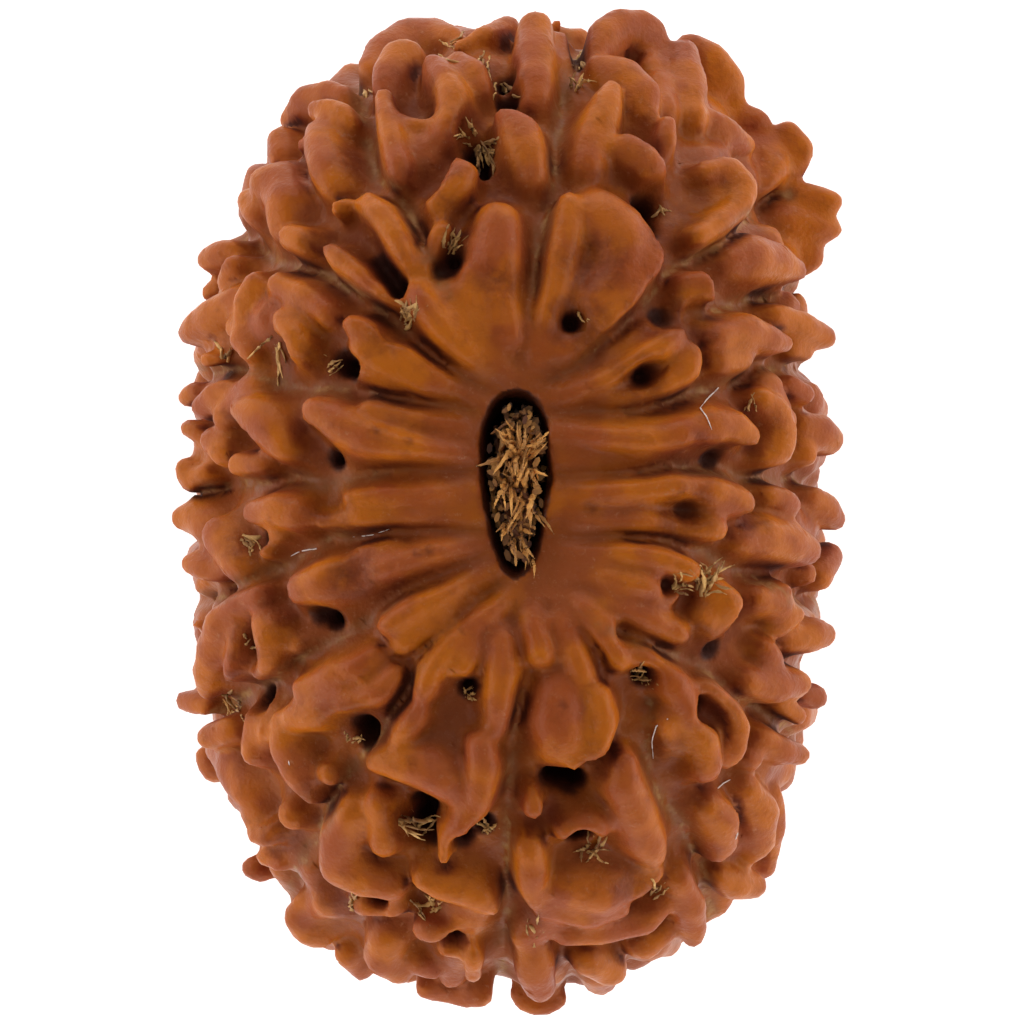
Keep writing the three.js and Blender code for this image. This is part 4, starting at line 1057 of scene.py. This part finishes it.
def makeSeed():
    field, fin, ragged = seedField()
    print("seed field", field.shape)
    grid = openvdb.FloatGrid(3.0)
    grid.copyFromArray(field)
    points, triangles, quads = grid.convertToPolygons(isovalue=0.0, adaptivity=seedForm["plainer"])
    points = points * voxel + blockLow
    mesh = meshFromArrays("seed", points, triangles.tolist() + quads.tolist())
    print("seed mesh", len(mesh.vertices), "points", len(mesh.polygons), "faces")
    normals = np.zeros(len(mesh.vertices) * 3)
    mesh.vertices.foreach_get("normal", normals)
    normals = normals.reshape(-1, 3)
    look = skinReading
    value, slope = formAt(points[:, 0], points[:, 1], points[:, 2])
    sunk = seedForm["dishDepth"] * polewardAt(points[:, 0], points[:, 1])
    setAttribute(mesh, "under", np.clip((1 - value) / steepnessOf(slope) - sunk, 0, 3))
    near = sampled(field, points + normals * look["near"]) / look["near"]
    wide = sampled(field, points + normals * look["wide"]) / look["wide"]
    thick = -sampled(field, points - normals * look["inwards"]) / look["inwards"]
    # openNear and openWide place the painted shade in the creases and valleys
    setAttribute(mesh, "openNear", np.clip(near, 0, 1.5))
    setAttribute(mesh, "openWide", np.clip(wide, 0, 1.5))
    # thin also places the painted amber glow of light through the crests and tips
    setAttribute(mesh, "thin", np.clip(1 - thick, 0, 1))
    nearHole = np.exp(-(ringOf(points[:, 0], points[:, 1]) / look["cleanRing"]) ** 2)
    setAttribute(mesh, "groove", np.clip(sampled(fin, points) + look["cleanShare"] * nearHole, 0, 2))
    # pit, hollow and rim place the painted shade in the pits, the carved hollows and the channel
    fromPit = np.maximum(0, nearestLine(points, pitStrokes) - look["pitSize"])
    setAttribute(mesh, "pit", np.exp(-(fromPit / look["pitFade"]) ** 2))
    setAttribute(mesh, "hollow", hollowAt(points))
    mouth = channelDistance(points[:, 0], points[:, 1], np.full(len(points), seedForm["height"]))
    mouth += sampled(ragged, points)
    setAttribute(mesh, "rim", np.exp(-np.maximum(0, mouth / look["rimFade"]) ** 2))
    setAttribute(mesh, "stain", stainAt(points))
    return addObject("seed_stone", mesh), field


def linear(part):
    return part / 12.92 if part <= 0.04045 else ((part + 0.055) / 1.055) ** 2.4


# A colour written as sRGB hex, in the linear values that Blender's nodes take
def colour(code):
    parts = [int(code[i:i + 2], 16) / 255 for i in (1, 3, 5)]
    return [linear(part) for part in parts] + [1.0]


# Adds a node with its settings; an input is a value or the output that feeds it
def addNode(tree, kind, inputs=None, **settings):
    node = tree.nodes.new(kind)
    for name, value in settings.items():
        setattr(node, name, value)
    for socket, value in (inputs or {}).items():
        if isinstance(value, bpy.types.NodeSocket):
            tree.links.new(value, node.inputs[socket])
        else:
            node.inputs[socket].default_value = value
    return node


def newMaterial(name):
    material = bpy.data.materials.new(name)
    material.use_nodes = True
    material.node_tree.nodes.clear()
    return material, material.node_tree


# Dried fruit stone, oiled and handled: a satin, faintly waxy skin with light glowing in its thin tips, partly
# painted in as amber; its valleys, creases, hollows, pits and channel carry painted shade
stoneFinish = {
    "flesh": "#9A4717",
    # Patches and grain, as [millimetres, detail, roughness]
    "noises": {"blotch": [1.9, 2.0, 0.55], "cloud": [3.4, 3.0, 0.6], "mottle": [0.55, 4.0, 0.65],
               "speck": [0.9, 3.0, 0.7], "pore": [0.14, 2.0, 0.5], "powder": [0.24, 4.0, 0.75]},
    # Tones laid one over another, as [colour, where, from, to, most] and, for a tone that comes in
    # patches, [where, from, to]. under is the depth below the tips, thin is how thin the flesh is,
    # openNear and openWide are how much air is near, and groove is how far the nearest seam is
    "layers": [
        ["#A04F28", "cloud", 0.40, 0.58, 0.75],                         # pinkish skin
        ["#B86008", "blotch", 0.46, 0.6, 0.6],                          # amber patches
        ["#B8620C", "thin", 0.25, 0.65, 0.75, "blotch", 0.3, 0.6],      # painted glow: amber where the flesh is thin, standing in for light shining through the crests and tips
        ["#6A2A0C", "mottle", 0.45, 0.8, 0.35],
        ["#741F02", "openWide", 0.55, 0.0, 0.6],                        # painted shade: deep red brown in the valleys, where little open air is near the skin
        ["#82400F", "under", 0.35, 1.0, 0.6],                           # painted shade: browner, darker skin the deeper it lies below the tips
        ["#B8805C", "powder", 0.56, 0.74, 0.4, "cloud", 0.35, 0.6],     # fine dry dust on the skin
        # painted shade: dark red brown in the carved hollows
        ["#5A1B05", "hollow", 0.2, 1.0, 0.45, "mottle", 0.2, 0.6],
        ["#86552F", "groove", 0.42, 0.08, 0.7, "speck", 0.35, 0.6],     # earth along the seams
        ["#B08450", "groove", 0.2, 0.08, 0.7, "mottle", 0.42, 0.62],
        ["#561503", "openNear", 0.6, 0.05, 0.65],                       # painted shade: dark red brown in the creases
        # painted shade: near black in the tightest creases
        ["#2A0902", "openNear", 0.25, -0.1, 0.8],
        ["#2C0D05", "pit", 0.4, 0.95, 0.9, "under", 0.5, 1.3],          # painted shade: nearly black in the pits, darker the deeper they lie
        ["#4A1308", "stain", 0.3, 0.95, 0.6, "speck", 0.3, 0.65],
        # painted shade: dark brown on the channel's wall and round its mouth
        ["#3E190C", "rim", 0.45, 0.98, 0.95],
    ],
    "bumpHeight": 0.05,        # millimetres
    "pores": 0.4,              # the pores' share in the bump, beside the mottle's
    "roughness": [0.3, 0.45],
    "dullness": 0.75,          # roughness of the valleys and seams
    "glow": 0.2,               # share of light that scatters under the skin
    "glowDepth": 0.45,         # millimetres
}


def stoneMaterial():
    look = stoneFinish
    material, tree = newMaterial("oiled_rudraksha_stone")
    place = addNode(tree, "ShaderNodeTexCoord").outputs["Object"]
    sources = {}
    for name, (size, detail, roughness) in look["noises"].items():
        sources[name] = addNode(tree, "ShaderNodeTexNoise", {
            "Vector": place, "Scale": 1000 / size, "Detail": detail, "Roughness": roughness}).outputs["Fac"]
    for name in ("under", "openNear", "openWide", "thin", "groove", "pit", "hollow", "rim", "stain"):
        sources[name] = addNode(tree, "ShaderNodeAttribute", attribute_name=name).outputs["Fac"]

    tone = colour(look["flesh"])
    for tint, where, low, high, most, *patchy in look["layers"]:
        share = addNode(tree, "ShaderNodeMapRange", {
            "Value": sources[where], "From Min": low, "From Max": high, "To Max": most},
            interpolation_type="SMOOTHSTEP").outputs["Result"]
        if patchy:
            patches = addNode(tree, "ShaderNodeMapRange", {
                "Value": sources[patchy[0]], "From Min": patchy[1], "From Max": patchy[2]},
                interpolation_type="SMOOTHSTEP").outputs["Result"]
            share = addNode(tree, "ShaderNodeMath", {0: share, 1: patches}, operation="MULTIPLY").outputs[0]
        mixed = addNode(tree, "ShaderNodeMix", {0: share, 6: tone, 7: colour(tint)}, data_type="RGBA")
        tone = mixed.outputs[2]

    low, high = look["roughness"]
    skin = addNode(tree, "ShaderNodeMapRange", {
        "Value": sources["mottle"], "From Min": 0.3, "From Max": 0.7, "To Min": low, "To Max": high})
    rough = addNode(tree, "ShaderNodeMapRange", {
        "Value": sources["openWide"], "From Min": 0.15, "From Max": 0.6, "To Min": look["dullness"],
        "To Max": skin.outputs["Result"]})
    grain = addNode(tree, "ShaderNodeMath", {0: sources["pore"], 1: look["pores"], 2: sources["mottle"]},
                    operation="MULTIPLY_ADD")
    bump = addNode(tree, "ShaderNodeBump", {
        "Strength": 1.0, "Distance": look["bumpHeight"] * mm, "Height": grain.outputs[0]})
    shader = addNode(tree, "ShaderNodeBsdfPrincipled", {
        "Base Color": tone, "Roughness": rough.outputs["Result"], "Normal": bump.outputs[0], "IOR": 1.46,
        "Specular IOR Level": 0.2,
        "Subsurface Weight": look["glow"], "Subsurface Radius": (1.0, 0.38, 0.16),
        "Subsurface Scale": look["glowDepth"] * mm})
    addNode(tree, "ShaderNodeOutputMaterial", {"Surface": shader.outputs[0]})
    return material


# Dried plant fibre, torn and dusty: dull straw to golden tan, darker at the root
fibreFinish = {
    "streak": 0.35,            # millimetres
    "contrast": 1.7,
}


def fibreMaterial(name, pale, deep, roughness):
    material, tree = newMaterial(name)
    place = addNode(tree, "ShaderNodeTexCoord").outputs["Object"]
    streak = addNode(tree, "ShaderNodeTexNoise", {
        "Vector": place, "Scale": 1000 / fibreFinish["streak"], "Detail": 3.0})
    tone = addNode(tree, "ShaderNodeAttribute", attribute_name="tone")
    share = addNode(tree, "ShaderNodeMath", {0: tone.outputs["Fac"], 1: streak.outputs["Fac"]},
                    operation="MULTIPLY")
    share = addNode(tree, "ShaderNodeMath", {0: share.outputs[0], 1: fibreFinish["contrast"]},
                    operation="MULTIPLY", use_clamp=True)
    mixed = addNode(tree, "ShaderNodeMix", {0: share.outputs[0], 6: colour(deep), 7: colour(pale)},
                    data_type="RGBA")
    shader = addNode(tree, "ShaderNodeBsdfPrincipled", {
        "Base Color": mixed.outputs[2], "Roughness": roughness, "Sheen Weight": 0.05})
    addNode(tree, "ShaderNodeOutputMaterial", {"Surface": shader.outputs[0]})
    return material


strandShape = {
    "bendSpacing": 0.6,        # millimetres
    "taper": 0.8,              # what a strand loses of its thickness by its tip
    "taperPower": 3.0,         # and how late it does
    "sides": 6,
}


# Sweeps every path of a mesh of edges into a flattened, tapered, slightly crooked strand
def strandTree():
    shape = strandShape
    tree = bpy.data.node_groups.new("strands", "GeometryNodeTree")
    tree.interface.new_socket("Geometry", in_out="INPUT", socket_type="NodeSocketGeometry")
    for name, kind in (("Crookedness", "Float"), ("Flatness", "Float"), ("Points", "Int"), ("Seed", "Int"),
                       ("Material", "Material")):
        tree.interface.new_socket(name, in_out="INPUT", socket_type="NodeSocket" + kind)
    tree.interface.new_socket("Geometry", in_out="OUTPUT", socket_type="NodeSocketGeometry")
    given = addNode(tree, "NodeGroupInput").outputs
    curve = addNode(tree, "GeometryNodeMeshToCurve", {0: given["Geometry"]})
    curve = addNode(tree, "GeometryNodeResampleCurve", {0: curve.outputs[0], "Count": given["Points"]})
    position = addNode(tree, "GeometryNodeInputPosition")
    along = addNode(tree, "GeometryNodeSplineParameter").outputs["Factor"]
    noise = addNode(tree, "ShaderNodeTexNoise", {
        "Vector": position.outputs[0], "W": given["Seed"], "Scale": 1000 / shape["bendSpacing"],
        "Detail": 1.0}, noise_dimensions="4D")
    centred = addNode(tree, "ShaderNodeVectorMath", {0: noise.outputs["Color"], 1: (0.5, 0.5, 0.5)},
                      operation="SUBTRACT")
    push = addNode(tree, "ShaderNodeVectorMath", {0: centred.outputs[0], "Scale": given["Crookedness"]},
                   operation="SCALE")
    moved = addNode(tree, "GeometryNodeSetPosition", {0: curve.outputs[0], "Offset": push.outputs[0]})
    size = addNode(tree, "GeometryNodeInputNamedAttribute", {"Name": "size"}, data_type="FLOAT")
    thinner = addNode(tree, "ShaderNodeMath", {0: along, 1: shape["taperPower"]}, operation="POWER")
    taper = addNode(tree, "ShaderNodeMath", {0: thinner.outputs[0], 1: -shape["taper"], 2: 1.0},
                    operation="MULTIPLY_ADD")
    radius = addNode(tree, "ShaderNodeMath", {0: size.outputs[0], 1: taper.outputs[0]}, operation="MULTIPLY")
    turned = addNode(tree, "FunctionNodeRandomValue", {2: 0.0, 3: math.pi, "Seed": given["Seed"]},
                     data_type="FLOAT")
    tilted = addNode(tree, "GeometryNodeSetCurveTilt", {0: moved.outputs[0], "Tilt": turned.outputs[1]})
    ring = addNode(tree, "GeometryNodeCurvePrimitiveCircle", {"Resolution": shape["sides"], "Radius": 1.0})
    flat = addNode(tree, "ShaderNodeCombineXYZ", {0: 1.0, 1: given["Flatness"], 2: 1.0})
    section = addNode(tree, "GeometryNodeTransform", {0: ring.outputs[0], "Scale": flat.outputs[0]})
    swept = addNode(tree, "GeometryNodeCurveToMesh", {
        "Curve": tilted.outputs[0], "Profile Curve": section.outputs[0],
        "Scale": radius.outputs[0], "Fill Caps": True})
    smooth = addNode(tree, "GeometryNodeSetShadeSmooth", {0: swept.outputs[0]})
    whole = addNode(tree, "GeometryNodeRealizeInstances", {0: smooth.outputs[0]})
    dressed = addNode(tree, "GeometryNodeSetMaterial", {0: whole.outputs[0], "Material": given["Material"]})
    addNode(tree, "NodeGroupOutput", {0: dressed.outputs[0]})
    return tree


# Turns paths, each a list of points with a thickness and a tone, into one plain mesh of strands
def makeStrands(name, paths, material, crookedness, flatness, points, seed):
    corners, edges, sizes, tones = [], [], [], []
    for path, thickness, tone in paths:
        for i, point in enumerate(path):
            if i:
                edges.append((len(corners) - 1, len(corners)))
            corners.append([part * mm for part in point])
            sizes.append(thickness / 2 * mm)
            tones.append(tone)
    mesh = bpy.data.meshes.new(name + "_paths")
    mesh.from_pydata(corners, edges, [])
    setAttribute(mesh, "size", sizes)
    setAttribute(mesh, "tone", tones)
    source = addObject(name + "_paths", mesh)
    modifier = source.modifiers.new("strands", "NODES")
    modifier.node_group = strands
    values = {"Crookedness": crookedness * mm, "Flatness": flatness, "Points": points, "Seed": seed,
              "Material": material}
    for item in strands.interface.items_tree:
        if item.in_out == "INPUT" and item.name in values:
            modifier[item.identifier] = values[item.name]
    graph = bpy.context.evaluated_depsgraph_get()
    made = bpy.data.meshes.new_from_object(source.evaluated_get(graph), depsgraph=graph)
    made.name = name
    bpy.data.objects.remove(source)
    piece = addObject(name, made)
    print(name, len(paths), "strands,", len(made.polygons), "faces")
    return piece


# The seed's surface over a plan point, in millimetres
def surfaceHeight(x, y):
    i = int(round((x - blockLow[0]) / voxel))
    j = int(round((y - blockLow[1]) / voxel))
    column = field[i, j]
    inside = np.nonzero(column < 0)[0]
    return float(axes[2][inside[-1]]) if len(inside) else 0.5


# Tufts of torn fibre, as [x, y, aim x, aim y, length, strands, thickness, rise]: plan places and
# aims, and millimetres
fibreTufts = [
    [479, 149, 6, 3, 1.0, 14, 0.14, 0.7], [474, 143, -6, -6, 0.6, 7, 0.12, 0.5],
    [487, 62, 8, 34, 1.7, 4, 0.13, 0.3], [496, 86, 5, 20, 0.9, 3, 0.12, 0.3],
    [451, 254, 1, -4, 0.7, 12, 0.15, 0.5], [576, 318, 2, 4, 0.5, 5, 0.12, 0.3],
    [409, 324, 3, -12, 0.8, 14, 0.14, 0.5], [404, 314, 10, 4, 0.5, 7, 0.12, 0.4],
    [277, 343, -2, 30, 1.2, 4, 0.13, 0.4], [225, 361, 6, -8, 0.7, 3, 0.15, 0.4],
    [246, 538, 14, 6, 0.7, 8, 0.13, 0.4], [246, 645, 4, -4, 0.5, 5, 0.12, 0.3],
    [228, 698, 8, 3, 0.7, 9, 0.13, 0.4], [240, 703, 4, 8, 0.5, 5, 0.12, 0.3],
    [400, 818, 16, 5, 0.9, 6, 0.14, 0.6], [420, 826, 4, -16, 0.8, 6, 0.12, 0.6],
    [415, 899, 14, 8, 0.9, 6, 0.12, 0.4], [433, 905, 6, -10, 0.6, 4, 0.12, 0.3],
    [584, 852, 10, -12, 0.9, 7, 0.13, 0.5], [590, 846, -8, 14, 0.6, 4, 0.12, 0.4],
    [630, 674, 6, -5, 0.6, 9, 0.13, 0.4], [638, 678, 8, 4, 0.5, 4, 0.12, 0.3],
    [672, 588, 10, -2, 0.6, 6, 0.13, 0.3], [700, 590, 14, -30, 1.2, 9, 0.12, 0.5],
    [704, 580, 18, -8, 0.7, 5, 0.12, 0.4], [748, 413, 2, -6, 0.6, 4, 0.13, 0.3],
    [578, 60, -4, 10, 0.7, 6, 0.13, 0.3], [576, 92, 3, -8, 0.6, 6, 0.12, 0.3],
    [535, 935, -2, -12, 0.7, 5, 0.12, 0.3], [655, 893, 6, -6, 0.5, 5, 0.12, 0.3],
    [352, 740, 6, -4, 0.5, 5, 0.13, 0.4], [466, 690, 5, -3, 0.4, 5, 0.12, 0.3],
    [488, 830, 8, -10, 0.7, 4, 0.12, 0.3], [350, 905, 10, -6, 0.6, 4, 0.12, 0.3],
    [440, 44, 14, 4, 0.8, 4, 0.12, 0.2], [364, 90, 3, 14, 0.9, 4, 0.12, 0.2],
    [330, 372, 12, -4, 0.6, 5, 0.12, 0.4], [658, 210, 4, 12, 0.5, 4, 0.12, 0.4],
]


# How the strands of one tuft differ, in millimetres and radians or as shares of the tuft's own values
tuftShape = {
    "scatter": 0.1,
    "fan": 0.45,
    "curl": 0.5,
    "length": [0.55, 1.1],
    "rise": [0.3, 1.1],
    "arch": 0.6,               # 0.5 would put the highest point at the tip
    "rooted": 0.1,             # below the surface
    "overhang": 1.2,           # how much higher ground a strand still climbs
    "thickness": [0.6, 1.6],
    "tone": [0.25, 1.0],
}


def tuftPaths(rng):
    shape = tuftShape
    paths = []
    for planX, planY, aimX, aimY, length, count, thickness, rise in fibreTufts:
        x, y = fromPlan(planX, planY)
        aim = math.atan2(-aimY, aimX)
        for i in range(count):
            startX, startY = x + rng.normal(0, shape["scatter"]), y + rng.normal(0, shape["scatter"])
            heading = aim + rng.normal(0, shape["fan"])
            curl = rng.normal(0, shape["curl"])
            reach = length * rng.uniform(*shape["length"])
            lift = rise * rng.uniform(*shape["rise"])
            ground = surfaceHeight(startX, startY)
            path = []
            for part in range(6):
                share = part / 5
                direction = heading + curl * share
                px = startX + math.cos(direction) * reach * share
                py = startY + math.sin(direction) * reach * share
                pz = ground - shape["rooted"] + lift * math.sin(share * math.pi * shape["arch"])
                highest = min(surfaceHeight(px, py), ground + shape["overhang"])
                path.append((px, py, max(pz, highest + 0.03 * share)))
            paths.append((path, thickness * rng.uniform(*shape["thickness"]), rng.uniform(*shape["tone"])))
    return paths


# Stray pale hairs on the surface, as plan points
hairThickness = 0.045
hairGap = 0.08
paleHairs = [
    [[716, 389], [706, 399], [698, 409]], [[698, 409], [704, 418], [709, 431]],
    [[729, 777], [721, 781], [714, 787], [719, 796]], [[666, 716], [655, 722], [650, 738], [652, 759]],
    [[736, 830], [733, 838]], [[319, 548], [302, 551], [285, 560]], [[353, 537], [372, 535], [391, 529]],
    [[291, 756], [292, 763]], [[279, 757], [279, 762]],
]


def hairPaths(rng):
    paths = []
    for hair in paleHairs:
        path = []
        for planX, planY in hair:
            x, y = fromPlan(planX, planY)
            path.append((x, y, surfaceHeight(x, y) + hairGap))
        paths.append((path, hairThickness, rng.uniform(0.7, 1.0)))
    return paths


# The strand in the channel: upright fibres with torn bits lying across, a mat from wall to wall at the
# bottom, and frayed ends at the upper mouth. Lengths are millimetres
coreFibres = {
    "lowest": 1.6,             # above the ground
    "highest": 20.0,
    "unevenness": 1.5,         # between the highest and the lowest ends
    "upright": 200,
    "uprightWave": [0.05, 0.1],
    "thickness": [0.2, 0.42],
    "tone": [0.0, 0.7],
    "across": 110,
    "acrossStart": 0.2,        # below the highest end
    "acrossDepth": 8,
    "acrossLength": 1.5,
    "acrossWave": 0.12,
    "acrossThickness": [0.16, 0.34],
    "acrossTone": [0.0, 0.8],
    "matted": 44,
    "mattedRise": 1.2,
    "mattedThickness": 0.6,
    "intoWall": 0.05,
    # as [x, y, aim x, aim y, length, strands, thickness], plan places and aims
    "frayed": [
        [520, 456, 2, -20, 0.9, 14, 0.17], [530, 446, 12, -8, 0.7, 8, 0.15],
        [514, 444, -8, -8, 0.6, 8, 0.15], [512, 454, -8, 16, 0.9, 6, 0.15],
        [526, 500, 1, 26, 1.0, 9, 0.16], [507, 486, 2, 22, 0.9, 7, 0.16],
        [518, 534, 4, 14, 0.8, 8, 0.15], [509, 520, -4, 10, 0.6, 5, 0.14],
        [520, 480, -2, -16, 0.8, 10, 0.16], [524, 552, 0, 10, 0.5, 5, 0.14],
        [531, 470, 6, 14, 0.6, 6, 0.14],
    ],
    "mouthDrop": 0.95,         # from the seed's top down to the frayed ends
    "frayedBelow": [0.3, 1.1],
    "frayedScatter": 0.12,
    "frayedFan": 0.35,
    "frayedLength": [0.5, 1.1],
    "frayedBend": 1.4,
    "frayedThickness": [0.6, 1.7],
    "frayedTone": [0.35, 1.0],
}


farthestPlace = 0.99


# A point inside the channel's neck, as seen from above
def channelPoint(rng):
    place = rng.uniform(-farthestPlace, farthestPlace)
    half = float(channelHalfWidth(place)) * channel["neck"]
    return (channelCentre[0] + rng.uniform(-1, 1) * max(half, 0.05),
            channelCentre[1] + place * channel["neck"] * channel["length"] / 2)


def corePaths(rng):
    core = coreFibres
    paths = []
    low, high = core["lowest"], core["highest"]
    for i in range(core["upright"]):
        x, y = channelPoint(rng)
        bottom = low + rng.uniform(0, 1.5)
        top = high - rng.uniform(0, 1) * core["unevenness"]
        waveX, waveY = core["uprightWave"]
        path = [(x + rng.normal(0, waveX), y + rng.normal(0, waveY), top + (bottom - top) * part / 8)
                for part in range(9)]
        paths.append((path, rng.uniform(*core["thickness"]), rng.uniform(*core["tone"])))
    for i in range(core["across"]):
        x, y = channelPoint(rng)
        otherX, otherY = channelPoint(rng)
        z = high - core["acrossStart"] - rng.uniform(0, 1) ** 2 * core["acrossDepth"]
        reach = min(1.0, core["acrossLength"] / max(0.1, math.hypot(otherX - x, otherY - y)))
        path = [(x + (otherX - x) * reach * part / 5, y + (otherY - y) * reach * part / 5,
                 z + rng.normal(0, core["acrossWave"])) for part in range(6)]
        paths.append((path, rng.uniform(*core["acrossThickness"]), rng.uniform(*core["acrossTone"])))
    for i in range(core["matted"]):
        place = -farthestPlace + 2 * farthestPlace * i / (core["matted"] - 1)
        half = float(channelHalfWidth(place)) * channel["neck"] + core["intoWall"]
        y = channelCentre[1] + place * channel["neck"] * channel["length"] / 2
        z = low + 0.5 + rng.uniform(0, core["mattedRise"])
        path = [(channelCentre[0] + half * (part / 2.5 - 1), y, z) for part in range(6)]
        paths.append((path, core["mattedThickness"], 0.0))
    for planX, planY, aimX, aimY, length, count, thickness in core["frayed"]:
        x, y = fromPlan(planX, planY)
        aim = math.atan2(-aimY, aimX)
        for i in range(count):
            startX = x + rng.normal(0, core["frayedScatter"])
            startY = y + rng.normal(0, core["frayedScatter"])
            heading = aim + rng.normal(0, core["frayedFan"])
            reach = length * rng.uniform(*core["frayedLength"])
            start = seedForm["height"] - core["mouthDrop"] - rng.uniform(*core["frayedBelow"])
            path = []
            for part in range(6):
                share = part / 5
                bend = share ** core["frayedBend"]
                path.append((startX + math.cos(heading) * reach * bend,
                             startY + math.sin(heading) * reach * bend,
                             start + 1.0 * math.sin(share * math.pi / 2)))
            paths.append((path, thickness * rng.uniform(*core["frayedThickness"]),
                          rng.uniform(*core["frayedTone"])))
    return paths


seedPiece, field = makeSeed()
seedPiece.data.materials.append(stoneMaterial())
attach(seedPiece, "root")
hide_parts("seed")

strands = strandTree()
rng = np.random.default_rng(seedForm["randomSeed"])
goldenFibre = fibreMaterial("golden_dried_fibre", "#F2AC54", "#5E2E10", 0.6)
strawFibre = fibreMaterial("straw_dried_fibre", "#E8B468", "#7A4A20", 0.65)
paleHair = fibreMaterial("pale_hair", "#F2E4DC", "#D9C4B8", 0.5)
corePiece = makeStrands("core_fibre_bundle", corePaths(rng), goldenFibre, 0.16, 0.5, 12, 3)
tuftPiece = makeStrands("pit_fibres", tuftPaths(rng), strawFibre, 0.16, 0.45, 9, 7)
hairPiece = makeStrands("stray_hairs", hairPaths(rng), paleHair, 0.05, 0.9, 10, 11)
for piece in (corePiece, tuftPiece, hairPiece):
    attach(piece, "root")
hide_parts("core_fibres")

camera = {
    "lens": 800,           # long, so that the sides are seen as the photograph has them
    "frameWidth": 30.506,  # millimetres across the picture, at the seed's middle height
    "aimX": 0.119,
    "aimY": -0.015,
}


def makeCamera():
    data = bpy.data.cameras.new("camera")
    data.lens = camera["lens"]
    data.sensor_width = 36
    data.clip_start = 0.01
    data.clip_end = 5
    piece = bpy.data.objects.new("camera", data)
    distance = camera["frameWidth"] * data.lens / data.sensor_width
    piece.location = (camera["aimX"] * mm, camera["aimY"] * mm, (middleZ + distance) * mm)
    bpy.context.scene.collection.objects.link(piece)
    bpy.context.scene.camera = piece


makeCamera()

# A light tent: bright walls, a dim top where the camera looks in; lights are [watts, size, distance,
# degrees above the floor]
lights = {
    "wall": 1.8,
    "roof": 0.28,
    "wallTop": 0.1,            # up to here the walls are bright, from 0 at the horizon to 1 overhead
    "roofEdge": 0.7,
    "side": [0.010, 70, 75, 20],
    "end": [0.006, 70, 85, 22],
    "top": [0.006, 30, 110, 78],
}


def addLight(name, watts, size, distance, elevation, azimuth):
    data = bpy.data.lights.new(name, "AREA")
    data.energy = watts
    data.size = size * mm
    piece = bpy.data.objects.new(name, data)
    up, around = math.radians(elevation), math.radians(azimuth)
    towards = Vector((math.cos(around) * math.cos(up), math.sin(around) * math.cos(up), math.sin(up)))
    piece.location = Vector((0, 0, middleZ * mm)) + towards * distance * mm
    piece.rotation_euler = towards.to_track_quat("Z", "Y").to_euler()
    bpy.context.scene.collection.objects.link(piece)


def makeLight():
    world = bpy.data.worlds.new("tent")
    world.use_nodes = True
    tree = world.node_tree
    direction = addNode(tree, "ShaderNodeTexCoord").outputs["Generated"]
    height = addNode(tree, "ShaderNodeSeparateXYZ", {0: direction}).outputs["Z"]
    strength = addNode(tree, "ShaderNodeMapRange", {
        "Value": height, "From Min": lights["wallTop"], "From Max": lights["roofEdge"],
        "To Min": lights["wall"], "To Max": lights["roof"]}, interpolation_type="SMOOTHSTEP")
    tree.links.new(strength.outputs["Result"], tree.nodes["Background"].inputs["Strength"])
    tree.nodes["Background"].inputs["Color"].default_value = (1, 1, 1, 1)
    bpy.context.scene.world = world
    for azimuth in (0, 180):
        addLight("side" + str(azimuth), *lights["side"], azimuth)
    for azimuth in (90, 270):
        addLight("end" + str(azimuth), *lights["end"], azimuth)
    addLight("top", *lights["top"], 90)


floorLook = {
    "reach": 900,              # millimetres from the seed to the sheet's edges
    "glow": 0.65,
}


# Plain white paper, matt, lit a little from within so that it stays white round the seed
def makeFloor():
    material, tree = newMaterial("white_paper")
    shader = addNode(tree, "ShaderNodeBsdfPrincipled", {
        "Base Color": colour("#FAFAFA"), "Roughness": 0.9, "Emission Color": colour("#FFFFFF"),
        "Emission Strength": floorLook["glow"]})
    addNode(tree, "ShaderNodeOutputMaterial", {"Surface": shader.outputs[0]})
    far = floorLook["reach"]
    corners = np.array([[-far, -far, 0], [far, -far, 0], [far, far, 0], [-far, far, 0.0]])
    mesh = meshFromArrays("floor", corners, [[0, 1, 2, 3]])
    floor = addObject("floor", mesh)
    floor.data.materials.append(material)


makeLight()
makeFloor()
bpy.context.scene.view_settings.view_transform = "Standard"
print("camera, lights and floor set")
